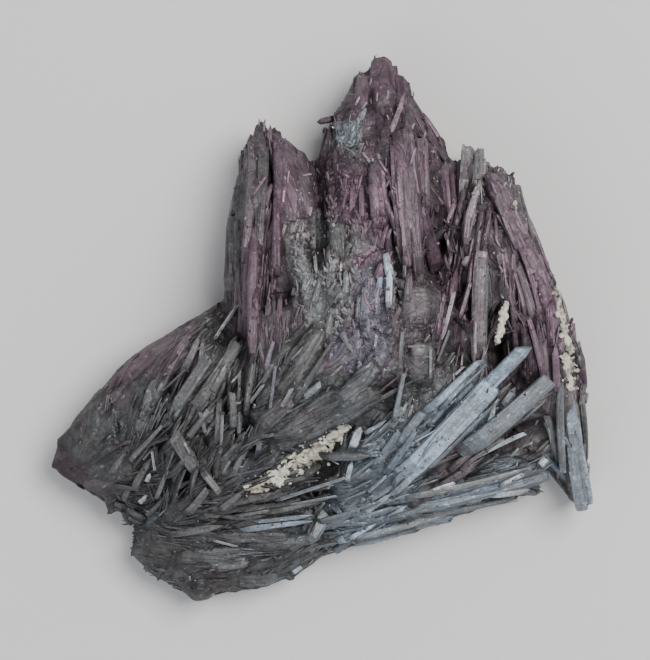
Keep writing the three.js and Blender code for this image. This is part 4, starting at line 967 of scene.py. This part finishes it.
scatter(dark_faces, DARK_GROUND, 24, 18, lath_forms, (3, 7), (0.5, 1.2), 5, (1, 3), (-0.25, 0.05), 0.03)
scatter(dark_faces, DARK_GROUND, 90, 19, splinter_forms, (0.8, 3), (0.2, 0.5), 16, (1, 2), (0.0, 0.35), 0.06)
drop_crumbs_and_glints(dark_faces, DARK_GROUND, 300, 147, (-0.15, 0.1, 0.2, 0.35))
finish_piece(dark_faces, "dark_face_blades")

# ---- middle left tangle ----
# Loose blades that cross one another, most of them pointing up and right.
tangle = new_shape()
place_blades(tangle, [
    (-18.4, -10.5, -13.5, -3.2, 1.6, 1.1, 0.60, 0.55), (-14.7, -4.2, -14.3, -1.0, 0.6, 0.9, 0.7, 0.5),
    (-15.8, -10.1, -9.8, -1.4, 1.7, 1.0, 0.53, 0.5), (-13.1, -1.3, -10.3, 3.1, 0.5, 0.9, 0.9, 0.5),
    (-11.4, 1.0, -10.1, 3.1, 0.5, 0.9, 0.85, 0.5), (-13.9, -12.8, -14.6, -10.0, 0.6, 1.1, 0.7, 0.5),
    (-12.3, -13.4, -12.2, -8.4, 0.9, 1.3, 0.56, 0.5), (-11.9, -13.6, -11.8, -9.8, 0.5, 1.4, 0.75, 0.5),
    (-10.6, -13.0, -10.5, -7.8, 1.0, 1.2, 0.52, 0.5), (-10.0, -13.4, -9.9, -5.8, 0.6, 1.0, 0.62, 0.5),
    (-10.9, -6.4, -9.7, -5.2, 0.5, 1.3, 0.9, 0.5), (-9.8, -7.7, -9.8, -5.0, 0.5, 1.2, 0.8, 0.5),
    (-9.0, -10.4, -8.0, -4.0, 0.9, 1.1, 0.52, 0.45), (-8.7, -9.2, -6.8, -6.6, 0.5, 1.3, 0.85, 0.5),
    (-14.7, -17.9, -17.7, -12.8, 1.8, 1.4, 0.58, 0.5), (-15.8, -15.2, -17.3, -12.4, 0.35, 1.7, 0.9, 0.6),
    (-14.5, -17.2, -12.3, -20.0, 1.0, 1.1, 0.64, 0.55), (-12.4, -18.2, -10.7, -15.4, 0.7, 1.0, 0.64, 0.55),
    (-20.4, -21.4, -18.4, -16.6, 0.7, 1.1, 0.7, 0.6), (-21.6, -19.0, -21.0, -17.7, 0.7, 1.1, 1.0, 0.6),
    (-22.8, -21.8, -21.5, -20.6, 0.7, 1.0, 1.0, 0.6), (-20.1, -23.3, -18.9, -22.0, 0.4, 1.0, 1.0, 0.6),
    (-20.6, -14.8, -20.3, -17.5, 0.4, 1.2, 0.9, 0.6), (-21.9, -16.2, -20.8, -14.8, 0.4, 1.2, 0.85, 0.6),
    (-24.0, -16.6, -19.3, -11.7, 0.8, 1.0, 0.6, 0.5), (-16.8, -23.2, -13.7, -19.4, 1.3, 0.8, 0.5, 0.5),
    (-15.3, -23.9, -15.0, -23.5, 0.5, 1.0, 0.95, 0.5), (-14.5, -24.2, -12.8, -23.5, 0.4, 0.9, 0.95, 0.6),
    (-17.2, -6.2, -14.6, -0.6, 1.2, 0.9, 0.52, 0.4), (-19.0, -6.0, -16.2, -1.0, 1.2, 0.6, 0.48, 0.2),
    (-16.8, -14.0, -13.6, -9.8, 1.0, 1.0, 0.56, 0.5), (-18.6, -14.4, -15.6, -10.4, 0.9, 0.9, 0.6, 0.5),
    (-13.6, -8.4, -11.2, -4.0, 1.0, 1.2, 0.6, 0.5), (-12.2, -5.2, -10.2, -0.6, 1.1, 1.0, 0.58, 0.4),
    (-18.6, -19.6, -15.6, -14.6, 1.0, 1.0, 0.52, 0.5), (-23.4, -20.2, -20.8, -15.8, 1.0, 0.8, 0.52, 0.5),
    (-12.8, -22.6, -9.2, -19.6, 1.0, 0.8, 0.5, 0.5), (-10.8, -18.0, -8.8, -14.2, 0.9, 0.9, 0.52, 0.5),
    (-19.8, -20.8, -15.4, -18.4, 0.7, 1.2, 0.62, 0.6), (-22.2, -23.6, -18.6, -20.2, 0.8, 0.8, 0.5, 0.5),
], 108)
TANGLE_GROUND = [
    (-10.5, -3), (-6, -1.5), (-9, -13), (-7, -19.5), (-12, -24.5), (-24, -26), (-24, -18), (-26.5, -14), (-22.5, -10),
    (-20, -3), (-14, 2),
]
scatter(tangle, TANGLE_GROUND, 120, 20, lath_forms, (3.5, 8.5), (0.5, 1.0), 8, (2, 4), (-0.15, 0.35), -0.07)
scatter(tangle, TANGLE_GROUND, 360, 21, splinter_forms, (1.5, 5), (0.18, 0.42), 14, (1, 4), (0.05, 0.7), 0.02)
drop_crumbs_and_glints(tangle, TANGLE_GROUND, 700, 148, (-0.2, -0.1, 0.1, 0.35))
finish_piece(tangle, "middle_left_blades")

# ---- left lobe ----
# A smooth dark lobe, brown-violet along its upper rim, pitted here and there.
left_lobe = new_shape()
place_blades(left_lobe, [
    (-24.7, -8.8, -24.1, -8.0, 0.6, 0.4, 0.85, 0.6), (-26.5, -13.8, -25.9, -13.1, 0.6, 0.4, 0.8, 0.6),
    (-27.3, -19.8, -26.7, -19.2, 0.6, 0.4, 0.8, 0.6), (-26.2, -18.4, -23.8, -14.6, 1.2, 0.2, 0.46, 0.5),
    (-24.8, -21.8, -23.0, -18.2, 1.0, 0.3, 0.5, 0.5),
], 109)
LEFT_LOBE_GROUND = [
    (-14, 4), (-14, 2), (-20, -3), (-22.5, -10), (-26.5, -14), (-24, -18), (-24, -26), (-30, -24), (-38, -18),
    (-34, -8), (-24, 3),
]
LOBE_PIT_GROUND = [(-28, -14.4), (-28.4, -9), (-26, -8), (-24, -11), (-24.6, -14.6)]
scatter(left_lobe, LEFT_LOBE_GROUND, 80, 29, lath_forms, (2.5, 7), (0.5, 1.1), 5, (2, 4), (-0.3, 0.0), -0.02, 0.4)
scatter(left_lobe, LOBE_PIT_GROUND, 70, 30, grain_forms, (0.4, 1.1), (0.3, 0.8), 50, (1, 1), (-0.15, 0.12), 0.06)
scatter(left_lobe, LEFT_LOBE_GROUND, 90, 23, splinter_forms, (0.6, 2.5), (0.2, 0.45), 16, (1, 2), (-0.12, 0.08), 0.06)
drop_crumbs_and_glints(left_lobe, LEFT_LOBE_GROUND, 420, 149, (-0.15, -0.08, 0.08, 0.25))
finish_piece(left_lobe, "left_lobe_blades")

# ---- lower left lobe ----
# Long level blades over a smooth dull lobe at the lower left.
lower_left = new_shape()
place_blades(lower_left, [
    (-10.8, -24.9, -0.9, -23.5, 0.9, 0.8, 0.80, 0.9), (-8.2, -23.7, -0.9, -22.7, 0.6, 1.0, 0.80, 0.9),
    (-11.0, -23.1, -5.8, -22.1, 0.5, 1.0, 0.62, 0.6), (-5.9, -21.1, 3.0, -18.0, 0.6, 1.0, 0.8, 0.8),
    (-4.2, -21.7, 2.8, -20.3, 0.5, 1.1, 0.7, 0.7), (-0.5, -22.5, 0.6, -21.3, 0.6, 1.0, 0.95, 0.7),
    (-13.1, -26.0, -10.2, -26.8, 0.4, 0.8, 0.9, 0.7), (-13.7, -29.7, -8.8, -28.8, 1.2, 0.4, 0.5, 0.5),
    (-11.2, -30.3, -9.9, -29.9, 0.6, 0.6, 0.8, 0.6), (-21.2, -30.5, -19.5, -30.1, 0.6, 0.4, 0.7, 0.6),
    (-16.2, -31.8, -16.3, -30.7, 0.4, 0.4, 0.8, 0.6), (-14.0, -33.6, -13.3, -33.0, 0.6, 0.4, 0.95, 0.6),
    (-12.6, -21.6, -4.4, -20.0, 1.2, 0.6, 0.37, 0.5), (-11.4, -22.4, -2.4, -21.0, 1.0, 0.7, 0.35, 0.5),
    (-8.2, -19.8, -0.6, -17.8, 1.0, 0.6, 0.40, 0.5), (-6.4, -22.5, 1.6, -20.9, 0.8, 0.8, 0.41, 0.6),
    (-19.4, -25.4, -12.0, -24.2, 1.2, 0.5, 0.46, 0.5),
], 110)
LOWER_LEFT_GROUND = [
    (-12, -24.5), (-7, -19.5), (0, -21), (-2, -28), (4, -30), (0, -36), (-24, -38), (-28, -26), (-24, -26),
]
scatter(lower_left, LOWER_LEFT_GROUND, 40, 24, lath_forms, (5, 11), (0.5, 1.2), 3, (2, 4), (-0.3, 0.0), -0.04)
scatter(lower_left, LOWER_LEFT_GROUND, 50, 31, lath_forms, (3, 8), (0.5, 1.1), 4, (2, 4), (-0.3, -0.05), -0.02, 0.4)
scatter(lower_left, LOWER_LEFT_GROUND, 110, 25, splinter_forms, (1.5, 5), (0.2, 0.4), 5, (1, 3), (-0.12, 0.12), 0.06)
drop_crumbs_and_glints(lower_left, LOWER_LEFT_GROUND, 520, 150, (-0.15, -0.08, 0.12, 0.35))
finish_piece(lower_left, "lower_left_blades")

# ---- pale crusts ----
# A cream to grey-white mineral that filled the gaps last: a granular vein
# across the middle, two patches on the right edge and one bent crystal.
pale = bpy.data.materials.new("pale_crust")
pale.use_nodes = True
pale_tree = pale.node_tree
pale_place = pale_tree.nodes.new("ShaderNodeTexCoord").outputs["Object"]
pale_colour = coloured(pale_tree, cloud(pale_tree, pale_place, 650.0, 5.0, 0.65).outputs["Fac"], [
    (0.34, (0.07, 0.065, 0.060)), (0.41, (0.28, 0.265, 0.23)), (0.48, (0.56, 0.53, 0.41)),
    (0.58, (0.70, 0.67, 0.59)), (0.72, (0.84, 0.83, 0.81))])
pale_grit = cloud(pale_tree, pale_place, 5200.0, 3.0, 0.5).outputs
feed(pale_tree, pale_tree.nodes["Principled BSDF"], {
    "Base Color": blended(pale_tree, "MULTIPLY", 0.5, pale_colour, pale_grit["Color"]),
    "Roughness": spread(pale_tree, pale_grit["Fac"], 0.0, 1.0, 0.5, 0.9),
    "Normal": bumped(pale_tree, 0.8, pale_grit["Fac"]),
})


def grow_crust(name, line, grains, size, stand, seed, level=False):
    """A crust of small grains grown together: a line of x, y, half width in mm
    that they gather along, how many, their size and how far they stand out,
    over the ground below them or, level, over the line's highest ground."""
    highest = max(ground_height(x, y) for x, y, _ in line)
    rng = random.Random(seed)
    shape = bmesh.new()
    legs = list(zip(line, line[1:]))
    lengths = [math.hypot(b[0] - a[0], b[1] - a[1]) for a, b in legs]
    for _ in range(grains):
        (xa, ya, wa), (xb, yb, wb) = rng.choices(legs, weights=lengths)[0]
        s = rng.random()
        off = rng.gauss(0, 0.6) * (wa + (wb - wa) * s)
        long = math.hypot(xb - xa, yb - ya)
        x = xa + (xb - xa) * s - (yb - ya) / long * off
        y = ya + (yb - ya) * s + (xb - xa) / long * off
        radius = rng.uniform(*size)
        if not over_mass(Vector((x, y, 0))):
            continue
        seat = Vector((x, y, (highest if level else ground_height(x, y)) + rng.uniform(*stand) - radius * 0.3))
        turn = Matrix.Rotation(rng.uniform(0, 6.3), 4, "Z") @ Matrix.Rotation(rng.uniform(-0.9, 0.9), 4, "X")
        squash = Matrix.Diagonal((rng.uniform(0.7, 1.7), rng.uniform(0.5, 1.0), rng.uniform(0.5, 1.0), 1))
        bmesh.ops.create_icosphere(shape, subdivisions=1, radius=radius * mm,
                                   matrix=Matrix.Translation(seat * mm) @ turn @ squash)
    crust = knit(shape, name, 0.13 * mm)
    rough = bmesh.new()
    rough.from_mesh(crust.data)
    rough.normal_update()
    for v in rough.verts:
        v.co += v.normal * noise.noise(v.co / mm * 2.4) * 0.12 * mm
    rough.to_mesh(crust.data)
    rough.free()
    crust.data.materials.append(pale)
    crust.data.shade_smooth()
    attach(crust, "root")
    count_faces(crust)
    return crust


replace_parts(grow_crust("pale_vein", [
    (-9.2, -20.0, 0.6), (-7.2, -19.0, 0.9), (-4.8, -17.6, 1.1), (-2.2, -16.3, 1.5),
    (0.2, -14.6, 1.1), (1.8, -13.0, 0.7), (3.6, -11.5, 0.4),
], 640, (0.10, 0.36), (0.0, 0.6), 201), "pale_crust_vein")
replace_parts(grow_crust("pale_edge_patch_upper", [
    (29.2, 4.9, 0.4), (29.7, 3.9, 0.9), (30.1, 3.0, 1.0), (30.3, 2.0, 0.8),
    (30.3, 1.0, 0.4), (30.0, -0.4, 0.4), (30.7, -1.7, 0.5), (31.2, -2.8, 0.3),
], 620, (0.14, 0.40), (0.5, 1.1), 202), "pale_crust_edge_upper")
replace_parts(grow_crust("pale_edge_patch_lower", [
    (30.2, -2.8, 0.5), (30.8, -4.2, 0.8), (31.0, -5.6, 0.8), (31.2, -7.4, 0.5),
], 300, (0.12, 0.34), (0.1, 0.6), 203), "pale_crust_edge_lower")
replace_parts(grow_crust("pale_bent_crystal", [
    (22.9, 3.4, 0.25), (22.3, 2.0, 0.35), (22.1, 0.3, 0.35), (21.5, -1.7, 0.25),
], 150, (0.16, 0.32), (0.1, 0.9), 204, level=True), "pale_crystal")
grow_crust("pale_specks", [
    (23.8, 14.8, 0.4), (24.2, 16.0, 0.5), (24.6, 17.3, 0.3),
], 40, (0.14, 0.3), (0.3, 0.8), 205)

# ---- camera, floor and light ----
# The specimen is looked at from straight above, lying on a pale surface in
# soft light from the upper right.
CAMERA_HEIGHT = 420 * mm
VIEW_HEIGHT = 82.5 * mm
camera_data = bpy.data.cameras.new("camera")
camera_data.sensor_width = 36
camera_data.lens = 36 * (CAMERA_HEIGHT - 8 * mm) / VIEW_HEIGHT
camera_data.clip_start = 10 * mm
camera_data.clip_end = 10
camera = bpy.data.objects.new("camera", camera_data)
camera.location = (0.625 * mm, 0, CAMERA_HEIGHT)
bpy.context.scene.collection.objects.link(camera)
bpy.context.scene.camera = camera

floor_shape = bmesh.new()
bmesh.ops.create_grid(floor_shape, x_segments=1, y_segments=1, size=1.5)
floor_mesh = bpy.data.meshes.new("floor")
floor_shape.to_mesh(floor_mesh)
floor_shape.free()
floor = bpy.data.objects.new("floor", floor_mesh)
bpy.context.scene.collection.objects.link(floor)
paper = bpy.data.materials.new("pale_floor")
paper.use_nodes = True
paper.node_tree.nodes["Principled BSDF"].inputs["Base Color"].default_value = (0.58, 0.57, 0.56, 1)
paper.node_tree.nodes["Principled BSDF"].inputs["Roughness"].default_value = 0.8
floor_mesh.materials.append(paper)


def softbox(name, place, size, power, colour):
    """A square light at a place, turned towards the specimen."""
    data = bpy.data.lights.new(name, "AREA")
    data.size = size
    data.energy = power
    data.color = colour
    light = bpy.data.objects.new(name, data)
    light.location = place
    light.rotation_euler = (-Vector(place)).to_track_quat("-Z", "Y").to_euler()
    bpy.context.scene.collection.objects.link(light)


softbox("key_light", (0.22, 0.14, 0.52), 0.30, 4.5, (1.0, 0.98, 0.96))
softbox("fill_light", (-0.30, -0.45, 0.5), 0.5, 1.8, (0.93, 0.96, 1.0))
world = bpy.data.worlds.new("studio")
world.use_nodes = True
world.node_tree.nodes["Background"].inputs["Color"].default_value = (0.9, 0.93, 1.0, 1)
world.node_tree.nodes["Background"].inputs["Strength"].default_value = 0.60
bpy.context.scene.world = world
